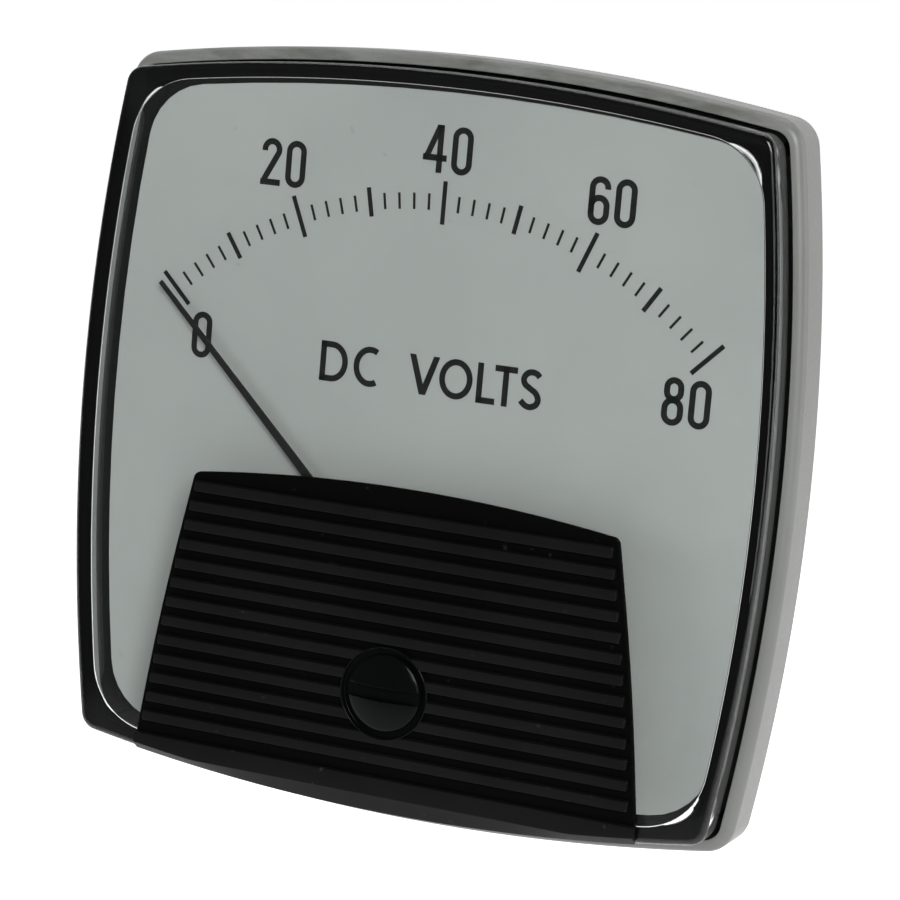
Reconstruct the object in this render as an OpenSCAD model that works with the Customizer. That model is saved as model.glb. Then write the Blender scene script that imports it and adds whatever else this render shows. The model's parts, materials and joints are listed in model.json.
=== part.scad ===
// Square analog panel meter with a moving-coil movement.
// The part stands upright with +Z up and is seen from -Y. The origin is the centre of the panel face,
// which is the back of the bezel, and the barrel runs along +Y behind the panel.
// Every piece is drawn in a front view: x to the right, y up, and h out of the panel towards the viewer.

/* [Bezel and case] */
// Width and height of the square bezel, across its bulged sides
bezel_w = 88.9; // [82:0.1:110]
// Radius of the bulge of each bezel side
bulge_r = 240; // [180:5:400]
// Depth of the bezel in front of the panel
bezel_d = 6.5; // [5.5:0.1:9]
// Outer corner radius of the bezel
bezel_corner_r = 3.6; // [3.2:0.1:6]
// Width of the lip round the cover
lip_w = 1.5; // [1.2:0.1:2.5]
// Radius of the rounded shoulder of the lip
shoulder_r = 1.2; // [0.5:0.1:1.2]
// Thickness of the bezel floor
floor_t = 2.2; // [1.6:0.1:3]
// Outer radius of the barrel behind the panel
barrel_r = 34.9; // [34.4:0.1:37]
// Depth of the barrel behind the panel
barrel_d = 30; // [25:0.5:40]
// Wall of the barrel
barrel_wall = 1.8; // [1.2:0.1:2.2]
// Thickness of the back of the barrel
back_t = 2.2; // [1.6:0.1:3.5]
// Radius of the rounded edge round the back of the barrel
back_edge_r = 1.5; // [0.5:0.1:2]

/* [Clear cover] */
// Gap between the cover and the bezel lip
cover_gap = 0.25; // [0.15:0.05:0.5]
// Distance from the panel face to the front of the window
cover_d = 11; // [9.5:0.1:14]
// Thickness of the window
window_t = 1.6; // [1.2:0.1:2.2]
// Thickness of the side walls of the cover
cover_wall = 1.75; // [1.2:0.05:2.2]
// Corner radius of the cover outside
cover_corner_r = 2.2; // [1.6:0.1:4]
// Corner radius of the cover inside
window_corner_r = 8; // [5:0.5:12]
// Radius of the rounded front edge of the cover
cover_edge_r = 0.6; // [0.3:0.1:1]

/* [Dial] */
// Air gap between the window and the dial
dial_gap = 3.2; // [2.9:0.1:6]
// Thickness of the dial plate
dial_t = 0.8; // [0.5:0.1:1]
// Clearance between the dial edge and the cover wall
dial_edge_gap = 0.7; // [0.3:0.1:2]
// Corner radius of the dial plate
dial_corner_r = 7.5; // [7.5:0.5:14]
// Radius of the opening in the dial for the movement
dial_hole_r = 10; // [9.6:0.1:10.6]
// Half the width of the dial slot below the movement
dial_slot_half = 4.5; // [4:0.1:5]
// Distance from the pointer axis to each dial post, sideways
post_x = 18; // [17:0.5:19]
// Distance of the dial posts below the pointer axis
post_drop = 4; // [2:0.5:6]

/* [Mask] */
// Height of the top of the mask above the pointer axis
mask_top = 14.3; // [13.5:0.1:16]
// Radius of the curved top edge of the mask
mask_top_r = 195; // [120:5:400]
// Half the width of the mask at the ends of its top edge
mask_half_top = 26.6; // [25:0.1:28]
// Half the width of the mask at its foot
mask_half_foot = 32.0; // [30:0.1:36]
// Radius of the top corners of the mask
mask_corner_r = 0.9; // [0.4:0.1:2]
// Thickness of the mask plate below the ribs
mask_t = 0.55; // [0.4:0.05:1]
// Height of the ribs on the mask plate
rib_h = 0.6; // [0.3:0.05:0.9]
// Distance from rib to rib
rib_pitch = 2.35; // [2:0.05:3]
// Width of the flat front of a rib
rib_w = 0.95; // [0.6:0.05:1.2]
// Run of the sloped side of a rib
rib_slope = 0.2; // [0:0.05:0.3]
// Number of ribs
rib_count = 13; // [8:1:13]
// Height of the first rib above the pointer axis
rib_first = 10.9; // [10:0.1:11.2]
// Width of the plain border beside the ribs
mask_border = 0.75; // [0.5:0.05:1.5]
// Height of the plain band at the foot of the mask, down to its bevel
foot_band = 2.1; // [1.5:0.1:3]
// Slope of the bevel under the foot band, from the front of the mask
bevel_angle = 27; // [20:1:28]
// Radius of the pegs that hold the mask on the cover
peg_r = 1; // [0.8:0.1:1.4]
// Distance of the pegs from the middle of the mask
peg_x = 22; // [21:0.5:24]

/* [Zero adjuster] */
// Distance of the adjuster below the pointer axis
adjuster_drop = 9.5; // [9.3:0.1:10]
// Radius of the head of the adjuster
head_r = 4.5; // [4:0.1:5]
// Gap between the head and its recess in the mask
head_gap = 0.75; // [0.3:0.05:0.9]
// Height of the dome of the head
dome_h = 0.9; // [0.5:0.1:1.2]
// Width of the screwdriver slot
slot_w = 1.5; // [1:0.1:2]
// Radius of the shaft of the adjuster
shaft_r = 2; // [1.9:0.1:2.4]
// Offset of the eccentric pin from the adjuster axis
crank_r = 1.3; // [1.1:0.05:1.4]
// Radius of the eccentric pin
crank_pin_r = 0.6; // [0.45:0.05:0.6]
// Clearance of the pin in the fork of the zero arm
fork_gap = 0.2; // [0.15:0.05:0.3]

/* [Pointer] */
// Distance of the pointer axis below the middle of the bezel
pivot_drop = 19; // [18.6:0.1:19.4]
// Length of the pointer from its axis
pointer_len = 48.4; // [40:0.1:50]
// Half the width of the pointer at its tip
tip_half = 0.25; // [0.15:0.05:0.5]
// Half the width of the pointer where it leaves its crank
root_half = 0.56; // [0.4:0.02:0.7]
// Thickness of the pointer
pointer_t = 0.3; // [0.2:0.05:0.4]
// Height of the pointer over the dial
pointer_lift = 0.7; // [0.5:0.05:0.9]
// Angle of the pointer at rest, to the left of straight up
rest_angle = 46; // [40:0.5:50]
// Travel of the pointer from rest down to its lower stop
under_travel = 2.5; // [1:0.5:4]
// Travel of the pointer from rest up to its upper stop
over_travel = 93.5; // [80:0.5:96]
// Radius from the axis at which the stop pins stand
stop_ring_r = 11.5; // [11.3:0.1:12]
// Radius of the stop pins
stop_pin_r = 0.5; // [0.4:0.05:0.6]

/* [Magnet system and coil] */
// Radius of the core magnet
core_r = 6; // [5.5:0.1:6]
// Length of the core magnet
core_len = 11; // [9:0.5:12]
// Clearance between the core and the coil former
coil_clear = 0.4; // [0.3:0.05:0.6]
// Thickness of the band of the coil former
former_t = 0.3; // [0.2:0.05:0.4]
// Depth of the winding on the former
winding_t = 0.8; // [0.5:0.05:0.8]
// Width of the coil across its sides
coil_w = 2.4; // [1.8:0.1:2.8]
// Clearance between the coil and the yoke ring
ring_clear = 0.3; // [0.2:0.05:0.5]
// Outer radius of the yoke ring
ring_r = 12.5; // [12.3:0.1:13]
// Distance of the bridge screws from the pointer axis
bridge_screw_x = 10.2; // [10:0.1:10.4]
// Half the width of the strap of a bridge
strap_half = 2.2; // [1.8:0.1:2.3]
// Thickness of the strap of a bridge
strap_t = 1.2; // [1:0.1:1.4]

/* [Bearings and springs] */
// Radius of the jewel screws
jewel_r = 1.6; // [1.4:0.1:1.8]
// Radius of the staff of each pivot
staff_r = 0.6; // [0.5:0.05:0.7]
// Gap between the tip of a pivot and the bottom of its jewel
jewel_gap = 0.12; // [0.08:0.01:0.15]
// Number of turns of each hairspring
spring_turns = 3; // [2:1:4]
// Outer radius of each hairspring
spring_r = 3.1; // [2.8:0.1:3.1]
// Thickness of the hairspring strip
spring_t = 0.12; // [0.08:0.01:0.16]
// Width of the hairspring strip
spring_w = 0.4; // [0.3:0.05:0.5]
// Clearance of pieces that are fitted on a shaft
fit_gap = 0.02; // [0.01:0.01:0.05]
// Running clearance round a turning shaft
run_gap = 0.06; // [0.03:0.01:0.1]

/* [Terminals and mounting] */
// Distance between the two terminal studs
terminal_spacing = 31.75; // [28:0.25:34]
// Height of the terminal studs above the middle of the barrel
terminal_rise = 6; // [4:0.5:8]
// Radius of the terminal studs
terminal_r = 3.175; // [2.5:0.005:3.2]
// Length of the terminal studs behind the barrel
terminal_len = 18; // [16:0.5:25]
// Width of the terminal nuts across their flats
nut_flats = 11.1; // [10:0.1:12]
// Thickness of the terminal nuts
nut_t = 4.8; // [4:0.1:5.5]
// Spacing of the four mounting studs, in both directions
stud_spacing = 63.5; // [61:0.5:66]
// Radius of the mounting studs
stud_r = 2.05; // [1.5:0.05:2.2]
// Length of the mounting studs behind the panel face
stud_len = 16; // [12:0.5:22]
// Distance of the movement screws from the pointer axis, sideways
boss_x = 23.5; // [23:0.1:24]
// Height of the movement screws above the pointer axis
boss_rise = 6; // [5:0.5:7]
// Radius of the bosses that carry the movement
boss_r = 3.6; // [3:0.1:4]
// Radius of the small screws of the movement
screw_r = 1.1; // [0.9:0.05:1.2]

/* [Hidden] */
$fn = 64;
// Overlap of pieces that are joined, and reach of a cut past its surface
eps = 0.01;
over = 1;
// Gap along the axis between pieces that turn against each other
axial_gap = 0.1;

// Outline sizes, each half the width across the bulged sides
bezel_half = bezel_w / 2;
tray_half = bezel_half - lip_w;
cover_half = tray_half - cover_gap;
window_half = cover_half - cover_wall;
dial_half = window_half - dial_edge_gap;
side_steps = 10;
corner_steps = 6;
wire_sides = 10;
wire_steps = 4;
turn_steps = 24;
crown_angle = 30;

// Ends of the threaded studs, and shoulder and head of each mounting stud
tip_chamfer = 0.5;
lead_in = 0.25;
shoulder_reach = 0.55;
head_reach = 0.9;
stud_head_t = 1;

// Heights in front of the panel face; behind it they are negative
window_back = cover_d - window_t;
dial_h = window_back - dial_gap;
dial_back = dial_h - dial_t;
plate_h = cover_d + mask_t;
rib_top = plate_h + rib_h;
back_inside = -barrel_d + back_t;
barrel_in_r = barrel_r - barrel_wall;

// Zero adjuster heights
recess_floor = cover_d + 0.35;
recess_lip = 0.35;
head_h = recess_floor + axial_gap;
head_rim = 0.55;
slot_floor = 0.45;
shaft_end = window_back - 1.1;
washer_t = 0.5;
washer_reach = 1.5;

// Movement heights, stacked behind the dial
bridge_front = dial_back - 0.4;
bridge_back = bridge_front - strap_t;
arm_t = 0.5;
arm_h = bridge_front + axial_gap;
front_nut_h = arm_h + arm_t + axial_gap;
lock_nut_t = 1.3;
lock_flats = 5;
crank_end = arm_h - 0.2;
coil_in = core_r + coil_clear;
band_out = coil_in + former_t;
coil_out = band_out + winding_t;
end_clear = 0.7;
end_in = core_len / 2 + end_clear;
end_band = end_in + former_t;
end_out = end_band + winding_t;
coil_front = bridge_back - 3.1;
coil_mid = coil_front - end_out;
coil_rear = coil_mid - end_out;
ring_bore_r = norm([coil_out, coil_w / 2]) + ring_clear;
ring_front = coil_mid + core_len / 2;
ring_back = coil_mid - core_len / 2;
frame_t = 2;
frame_back = ring_back - frame_t;
flange_t = 0.25;

// Pivots and springs: base disc on the coil, staff, then a cone that ends in the jewel cup
base_t = 0.6;
base_r = 1.5;
cone_len = 0.85;
staff_len = 2.5;
cone_step = 0.15;
tip_r = 0.08;
front_tip = coil_front + staff_len + cone_len;
rear_tip = coil_rear - staff_len - cone_len;
cup_depth = 0.85;
cup_r = 0.7;
cup_tip_r = 0.1;
front_screw_h = front_tip + jewel_gap - cup_depth;
rear_screw_h = rear_tip - jewel_gap + cup_depth;
jewel_screw_len = 4.6;
jewel_slot_w = 0.5;
jewel_slot_d = 0.6;
rear_bridge_front = rear_screw_h - 0.5;
rear_bridge_back = rear_bridge_front - strap_t;
tab_t = 0.5;
rear_nut_h = rear_bridge_back - tab_t - lock_nut_t - axial_gap;
hub_h = coil_front + base_t + axial_gap;
hub_t = 0.6;
collet_t = 0.7;
collet_r = 1.15;
front_spring_h = hub_h + hub_t + 0.35;
rear_spring_h = coil_rear - base_t - 0.6 - collet_t;
spring_sunk = 0.04;
tab_r = spring_r + 0.1;
tab_half = 0.6;

// Zero arm: ring on the jewel screw, bar and fork
arm_ring = 1.3;
arm_half = 1.2;
fork_half = 2;
fork_len = 4.6;
fork_slot = 3.9;

// Bridges: strap ends, boss round the jewel screw, legs and sunk screw heads
strap_inset = 0.8;
strap_boss = 0.9;
leg_half = 1.5;
sunk_head_r = 1.4;
bridge_seat = bridge_front - 1.2;
spacer_spread = 18;

// Support frame: plate, arms to the bosses and to the posts, posts
frame_reach = 0.5;
frame_clear = 0.8;
boss_arm_half = 2.5;
post_arm_half = 2;
post_foot_r = 3;
post_r = 2.4;

// Screws of the dial and the movement
pan_t = 1.1;
dial_screw_head_r = 2.1;
dial_screw_len = 5;
movement_screw_len = 7;
slot_past = 4;

// Pointer heights
blade_h = dial_h + pointer_lift;
crank_start = 4.6;
crank_stop = 8.6;
crank_lag = 0.2;
hub_r = 1.6;
tail_half = 0.4;
tail_len = 7;
arm_len = 6.2;
tail_weight_at = 4.2;
tail_weight_len = 2.6;
tail_weight_t = 0.94;
arm_weight_at = 4.4;
arm_weight_len = 1.2;
arm_weight_t = 0.4;
stop_proud = 0.6;
stop_offset = asin((stop_pin_r + root_half + 0.08) / stop_ring_r);
adjuster_y = -pivot_drop - adjuster_drop;

// Mask places, measured in the front view of the whole meter
mask_side_slope = (mask_half_foot - mask_half_top) / (cover_half - pivot_drop + mask_top);
band_top = -cover_half + foot_band + (bulge_r - sqrt(pow(bulge_r, 2) - pow(mask_half_foot, 2)));
mask_corner_end = 70;
peg_proud = 0.3;

// Terminals
lug_t = 0.6;
lug_ring_r = 5;
lug_half = 1.5;
lug_tail = 10;
lug_end = terminal_rise + lug_tail;
head_flats = 10;
terminal_head_t = 3;
outer_washer_r = 6.4;
outer_washer_t = 1;
free_thread = 2;
clamp_top = -barrel_d - outer_washer_t;
free_end = clamp_top - 2 * nut_t - free_thread;

// Wiring: the resistor lies along x above the movement
lead_r = 0.4;
wire_r = 0.6;
resistor_y = 19;
resistor_h = -20;
resistor_r = 3;
resistor_half = 8;
resistor_end = resistor_half + 4;

// ---- Outlines and solids used by more than one piece ----

// Points of the square outline with bulged sides, anticlockwise; outlines of any half width stay parallel
function tv_points(half, corner) =
    let (side_r = bulge_r - bezel_half + half,
         d = half - side_r,
         t = (d + sqrt(2 * pow(side_r - corner, 2) - d * d)) / 2,
         a = atan2(t, t - d),
         side = [for (i = [0 : side_steps - 1]) let (b = -a + 2 * a * i / side_steps)
             [d + side_r * cos(b), side_r * sin(b)]],
         bend = [for (i = [0 : corner_steps - 1]) let (b = a + (90 - 2 * a) * i / corner_steps)
             [t + corner * cos(b), t + corner * sin(b)]],
         quarter = concat(side, bend))
    [for (k = [0 : 3]) for (p = quarter) turned(p, 90 * k)];

// A point turned about the middle of the front view
function turned(p, a) = [p.x * cos(a) - p.y * sin(a), p.x * sin(a) + p.y * cos(a)];

// Triangles of the band between ring j of n points and the next ring
function band_faces(n, j) = [for (i = [0 : n - 1])
    let (a = j * n + i, b = j * n + (i + 1) % n)
    for (f = [[a, a + n, b + n], [a, b + n, b]]) f];

// Closed skin over a stack of rings, n points in each
module skin(points, n) {
    last = len(points) - n;
    polyhedron(points, concat(
        [[for (i = [0 : n - 1]) i]],
        [[for (i = [n - 1 : -1 : 0]) last + i]],
        [for (j = [0 : last / n - 1]) for (f = band_faces(n, j)) f]));
}

// Solid through outlines at rising heights; each ring is [half width, corner radius, height]
module tv_loft(rings) {
    skin([for (r = rings) for (p = tv_points(r[0], r[1])) [p.x, p.y, r[2]]], 4 * (side_steps + corner_steps));
}

// Rings of a front edge of radius r rounded over, for the end of a tv_loft
function edge_rings(half, corner, h, r, steps) =
    [for (i = [0 : steps]) let (a = 90 * i / steps, inset = r * (1 - cos(a)))
        [half - inset, corner - inset, h - r + r * sin(a)]];

// Straight-sided solid of a bulged square, from height h0 to h1
module tv_prism(half, corner, h0, h1) {
    translate([0, 0, h0]) linear_extrude(h1 - h0) polygon(tv_points(half, corner));
}

// Turns the front view upright: h points to -Y
module upright() {
    rotate([90, 0, 0]) children();
}

// Moves a piece of the movement to the pointer axis
module at_axis() {
    translate([0, -pivot_drop, 0]) children();
}

// Turns a piece of the moving coil to its rest angle
module at_rest() {
    at_axis() rotate([0, 0, rest_angle]) children();
}

// Repeats a piece at x and -x
module both_sides(x) {
    for (s = [-1, 1]) translate([s * x, 0, 0]) children();
}

// Cylinder of radius r from height h0 to h1
module rod(r, h0, h1) {
    translate([0, 0, h0]) cylinder(r = r, h = h1 - h0);
}

// Ring of outer radius r and bore radius b from height h0 to h1
module tube(r, b, h0, h1) {
    difference() {
        rod(r, h0, h1);
        rod(b, h0 - over, h1 + over);
    }
}

// Hexagonal block whose corners are chamfered at both ends
module hex_block(flats, h0, h1) {
    face_r = 0.475 * flats;
    outer_r = 0.6 * flats;
    rise = (outer_r - face_r) * tan(crown_angle);
    intersection() {
        translate([0, 0, h0]) rotate(30) cylinder(r = flats / sqrt(3), h = h1 - h0, $fn = 6);
        rotate_extrude() polygon([[0, h0], [face_r, h0], [outer_r, h0 + rise], [outer_r, h1 - rise],
            [face_r, h1], [0, h1]]);
    }
}

// Hexagonal nut with a round bore
module hex_nut(flats, bore_r, h0, h1) {
    difference() {
        hex_block(flats, h0, h1);
        rod(bore_r, h0 - over, h1 + over);
    }
}

// Stud end at height h, which tapers away from the viewer by its chamfer
module stud_tip(r, h) {
    translate([0, 0, h]) cylinder(r1 = r - tip_chamfer, r2 = r, h = tip_chamfer);
}

// Pan-head screw with a straight slot; its head sits on height h and its shank goes back by len
module slotted_screw(r, head, head_t, h, len) {
    slot_half = head / 7;
    edge = 0.3 * head_t;
    difference() {
        union() {
            rod(head, h, h + head_t - edge);
            translate([0, 0, h + head_t - edge]) cylinder(r1 = head, r2 = head - edge, h = edge);
            rod(r, h - len, h + eps);
        }
        translate([-head - over, -slot_half, h + head_t / 2])
            cube([2 * (head + over), 2 * slot_half, head_t]);
    }
}

// Smooth path through a list of points, with wire_steps pieces between neighbours
function smooth(p) =
    let (n = len(p), ends = concat([2 * p[0] - p[1]], p, [2 * p[n - 1] - p[n - 2]]))
    concat([for (i = [0 : n - 2]) for (k = [0 : wire_steps - 1]) let (t = k / wire_steps)
        (2 * ends[i + 1] + t * (ends[i + 2] - ends[i])
            + t * t * (2 * ends[i] - 5 * ends[i + 1] + 4 * ends[i + 2] - ends[i + 3])
            + t * t * t * (3 * ends[i + 1] - ends[i] - 3 * ends[i + 2] + ends[i + 3])) / 2], [p[n - 1]]);

// Direction of a path at its point i
function heading(p, i) =
    let (d = p[min(i + 1, len(p) - 1)] - p[max(i - 1, 0)]) d / norm(d);

// Unit vectors square to the path, carried along it without twist
function carried(p, i = 0, side = [0.6, 0.8, 0], found = []) =
    i == len(p) ? found :
    let (d = heading(p, i), flat = side - (side * d) * d, unit = flat / norm(flat))
    carried(p, i + 1, unit, concat(found, [unit]));

// Round wire of radius r along a smooth path through a list of points
module wire(through, r) {
    path = smooth(through);
    sides = carried(path);
    skin([for (i = [0 : len(path) - 1]) let (u = sides[i], v = cross(heading(path, i), u))
        for (k = [0 : wire_sides - 1]) let (a = 360 * k / wire_sides)
            path[i] + r * (cos(a) * u + sin(a) * v)], wire_sides);
}

// ---- Case ----

module case_base() {
    color("#8c8d89") upright() difference() {
        union() {
            tv_loft(concat([[bezel_half, bezel_corner_r, 0]],
                edge_rings(bezel_half, bezel_corner_r, bezel_d, shoulder_r, 5)));
            barrel_shell();
        }
        tv_prism(tray_half, bezel_corner_r - lip_w, floor_t, bezel_d + over);
        rod(barrel_in_r, -over, floor_t + over);
        for (x = [-1, 1], y = [-1, 1])
            translate([x * stud_spacing / 2, y * stud_spacing / 2, 0])
                rod(stud_r + shoulder_reach + fit_gap, -over, floor_t + over);
        translate([0, terminal_rise, 0]) both_sides(terminal_spacing / 2)
            rod(terminal_r + run_gap, -barrel_d - over, back_inside + over);
    }
}

// Barrel with its closed back and the two bosses that carry the movement
module barrel_shell() {
    rotate_extrude($fn = 128) barrel_profile();
    at_axis() both_sides(boss_x) translate([0, boss_rise, 0])
        tube(boss_r, screw_r + fit_gap, back_inside - eps, frame_back);
}

// Half section of the barrel: radius to the right, height up
module barrel_profile() {
    difference() {
        union() {
            translate([0, -barrel_d]) square([barrel_r - back_edge_r, barrel_d + eps]);
            translate([0, -barrel_d + back_edge_r]) square([barrel_r, barrel_d - back_edge_r + eps]);
            translate([barrel_r - back_edge_r, -barrel_d + back_edge_r]) circle(back_edge_r);
        }
        translate([0, back_inside]) square([barrel_in_r, barrel_d + over]);
    }
}

// Four threaded studs, each with a shoulder pressed into the floor of the bezel and a head on it
module mounting_studs() {
    color("#b9b3a2") upright() for (x = [-1, 1], y = [-1, 1])
        translate([x * stud_spacing / 2, y * stud_spacing / 2, 0]) {
            stud_tip(stud_r, -stud_len);
            rod(stud_r, tip_chamfer - stud_len, eps);
            rod(stud_r + shoulder_reach, 0, floor_t + eps);
            rod(stud_r + shoulder_reach + head_reach, floor_t, floor_t + stud_head_t);
        }
}

// ---- Cover and mask ----

module clear_cover() {
    color("#dfe6e6", 0.4) upright() difference() {
        tv_loft(concat([[cover_half, cover_corner_r, floor_t]],
            edge_rings(cover_half, cover_corner_r, cover_d, cover_edge_r, 4)));
        tv_prism(window_half, window_corner_r, floor_t - over, window_back);
        translate([0, adjuster_y, 0]) rod(shaft_r + run_gap, window_back - over, cover_d + over);
        at_axis() both_sides(peg_x) rod(peg_r + fit_gap, window_back - over, cover_d + over);
    }
}

// Front outline of the mask, grown inwards by inset; it ends at the lower edge of the cover
module mask_outline(inset) {
    intersection() {
        mask_sides(inset);
        translate([0, mask_top - pivot_drop - mask_top_r]) circle(r = mask_top_r - inset, $fn = 256);
        translate([0, bulge_r - bezel_half]) circle(r = bulge_r - bezel_half + cover_half, $fn = 256);
    }
}

// Region between the two sloping sides of the mask, with rounded top corners
module mask_sides(inset) {
    half_at_foot = mask_half_foot - inset + mask_side_slope * over;
    lean = atan(mask_side_slope);
    cx = mask_half_top - inset - mask_corner_r;
    cy = mask_top - pivot_drop - mask_top_r + sqrt(pow(mask_top_r - inset - mask_corner_r, 2) - cx * cx);
    sweep = mask_corner_end - lean - asin(cx / mask_top_r);
    bend = [for (i = [0 : corner_steps]) let (a = lean + sweep * i / corner_steps)
        [cx + mask_corner_r * cos(a), cy + mask_corner_r * sin(a)]];
    top_point = [cx + 0.2 * mask_corner_r, mask_top - pivot_drop + over];
    right = concat([[half_at_foot, -cover_half - over]], bend, [top_point]);
    left = [for (i = [len(right) - 1 : -1 : 0]) [-right[i].x, right[i].y]];
    polygon(concat(right, left));
}

module ribbed_mask() {
    color("#161616") upright() difference() {
        union() {
            translate([0, 0, cover_d]) linear_extrude(mask_t) mask_outline(0);
            intersection() {
                translate([0, 0, cover_d]) linear_extrude(rib_top - cover_d + over) mask_outline(mask_border);
                union() {
                    at_axis() for (i = [0 : rib_count - 1])
                        translate([0, rib_first - i * rib_pitch, plate_h - eps]) rib();
                    translate([-bezel_half, -bezel_half, plate_h - eps])
                        cube([2 * bezel_half, bezel_half + band_top, rib_h + eps]);
                }
            }
            translate([0, 0, cover_d]) linear_extrude(rib_top - cover_d) foot_outline();
            translate([0, adjuster_y, 0]) rod(head_r + head_gap + recess_lip, cover_d, rib_top);
            at_axis() both_sides(peg_x) rod(peg_r, window_back - peg_proud, cover_d + eps);
        }
        translate([0, adjuster_y, 0]) {
            rod(head_r + head_gap, recess_floor, rib_top + over);
            rod(shaft_r + run_gap, cover_d - over, rib_top);
        }
        foot_bevel();
    }
}

// Part of the mask outline below the top of the foot band
module foot_outline() {
    intersection() {
        mask_outline(0);
        translate([-bezel_half, -bezel_half]) square([bezel_w, bezel_half + band_top]);
    }
}

// One rib, flat in front with sloped sides, lying along x
module rib() {
    foot = rib_w / 2 + rib_slope;
    rotate([90, 0, 90]) translate([0, 0, -bezel_half]) linear_extrude(bezel_w)
        polygon([[-foot, 0], [foot, 0], [rib_w / 2, rib_h + eps], [-rib_w / 2, rib_h + eps]]);
}

// Wedge that bevels the foot of the mask below the foot band
module foot_bevel() {
    translate([0, band_top - foot_band, rib_top]) rotate([bevel_angle, 0, 0])
        translate([-bezel_half, -bezel_half, 0]) cube([bezel_w, bezel_half, bezel_half]);
}

// ---- Zero adjuster ----

module zero_adjuster() {
    color("#121212") upright() translate([0, adjuster_y, 0]) {
        difference() {
            union() {
                rod(head_r, head_h, head_h + head_rim);
                dome();
            }
            translate([-head_r - over, -slot_w / 2, head_h + slot_floor])
                cube([2 * (head_r + over), slot_w, over + dome_h]);
        }
        rod(shaft_r, shaft_end, head_h + eps);
        translate([0, crank_r, 0]) rod(crank_pin_r, crank_end, shaft_end + eps);
    }
}

// Shallow dome on the head, cut from a sphere
module dome() {
    ball_r = (pow(head_r, 2) + pow(dome_h, 2)) / (2 * dome_h);
    intersection() {
        translate([0, 0, head_h + head_rim + dome_h - ball_r]) sphere(r = ball_r, $fn = 96);
        rod(head_r, head_h + head_rim - eps, head_h + head_rim + dome_h + over);
    }
}

module adjuster_washer() {
    front = window_back - axial_gap;
    color("#a9adb0") upright() translate([0, adjuster_y, 0])
        tube(shaft_r + washer_reach, shaft_r + fit_gap, front - washer_t, front);
}

// Forked arm on the front jewel screw, with a tab for the outer end of the front hairspring
module zero_arm() {
    fork_end = adjuster_drop + crank_r;
    slot_half = crank_pin_r + fork_gap;
    tab_low = front_spring_h - axial_gap;
    color("#c9a45a") upright() at_axis() difference() {
        union() {
            rod(jewel_r + arm_ring, arm_h, arm_h + arm_t);
            translate([-arm_half, -fork_end, arm_h]) cube([2 * arm_half, fork_end, arm_t]);
            translate([-fork_half, -fork_end, arm_h]) cube([2 * fork_half, fork_len, arm_t]);
            translate([-tab_half, -tab_r - tab_t, tab_low])
                cube([2 * tab_half, tab_t, arm_h + arm_t - tab_low]);
        }
        rod(jewel_r + run_gap, arm_h - over, arm_h + arm_t + over);
        translate([-slot_half, -fork_end - over, arm_h - over])
            cube([2 * slot_half, over + fork_slot, arm_t + 2 * over]);
    }
}

// ---- Dial ----

module dial_plate() {
    color("#a3a7a4") upright() difference() {
        tv_prism(dial_half, dial_corner_r, dial_back, dial_h);
        at_axis() {
            rod(dial_hole_r, dial_back - over, dial_h + over);
            translate([-dial_slot_half, -adjuster_drop - slot_past, dial_back - over])
                cube([2 * dial_slot_half, adjuster_drop + slot_past, dial_t + 2 * over]);
            translate([0, -post_drop, 0]) both_sides(post_x)
                rod(screw_r + run_gap, dial_back - over, dial_h + over);
            at_stops() rod(stop_pin_r + fit_gap, dial_back - over, dial_h + over);
        }
    }
}

module dial_screws() {
    color("#b7b9bb") upright() at_axis() translate([0, -post_drop, 0]) both_sides(post_x)
        slotted_screw(screw_r, dial_screw_head_r, pan_t, dial_h, dial_screw_len);
}

// Places a piece where each stop pin stands
module at_stops() {
    for (a = [rest_angle + under_travel + stop_offset, rest_angle - over_travel - stop_offset])
        rotate([0, 0, a]) translate([0, stop_ring_r, 0]) children();
}

module stop_pins() {
    color("#8e8f90") upright() at_axis() at_stops()
        rod(stop_pin_r, dial_back, blade_h + pointer_t + stop_proud);
}

// ---- Moving coil ----

module pointer() {
    color("#151515") upright() at_rest() difference() {
        intersection() {
            translate([0, 0, hub_h - over]) linear_extrude(blade_h + pointer_t - hub_h + 2 * over)
                pointer_plan();
            rotate([90, 0, 90]) translate([0, 0, -arm_len - over]) linear_extrude(2 * (arm_len + over))
                pointer_side();
        }
        rod(staff_r + fit_gap, hub_h - over, hub_h + hub_t + over);
    }
}

// Plan of the pointer: tapered blade, hub, tail and two side arms
module pointer_plan() {
    polygon([[-root_half, 0], [root_half, 0], [root_half, crank_stop], [tip_half, pointer_len],
        [-tip_half, pointer_len], [-root_half, crank_stop]]);
    circle(hub_r);
    translate([-tail_half, -tail_len]) square([2 * tail_half, tail_len]);
    translate([-arm_len, -tail_half]) square([2 * arm_len, 2 * tail_half]);
}

// Side view of the pointer: a low hub, then a crank up to the blade over the dial
module pointer_side() {
    polygon([[-tail_len, hub_h], [crank_start, hub_h], [crank_stop, blade_h], [pointer_len, blade_h],
        [pointer_len, blade_h + pointer_t], [crank_stop - crank_lag, blade_h + pointer_t],
        [crank_start - crank_lag, hub_h + hub_t], [-tail_len, hub_h + hub_t]]);
}

// Wound wire weights on the tail and the two side arms
module balance_weights() {
    bore = norm([tail_half, hub_t / 2]) + fit_gap;
    color("#c08a52") upright() at_rest() translate([0, 0, hub_h + hub_t / 2]) {
        rotate([90, 0, 0]) tube(bore + tail_weight_t, bore, tail_weight_at, tail_weight_at + tail_weight_len);
        for (s = [-1, 1]) rotate([0, s * 90, 0])
            tube(bore + arm_weight_t, bore, arm_weight_at, arm_weight_at + arm_weight_len);
    }
}

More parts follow.
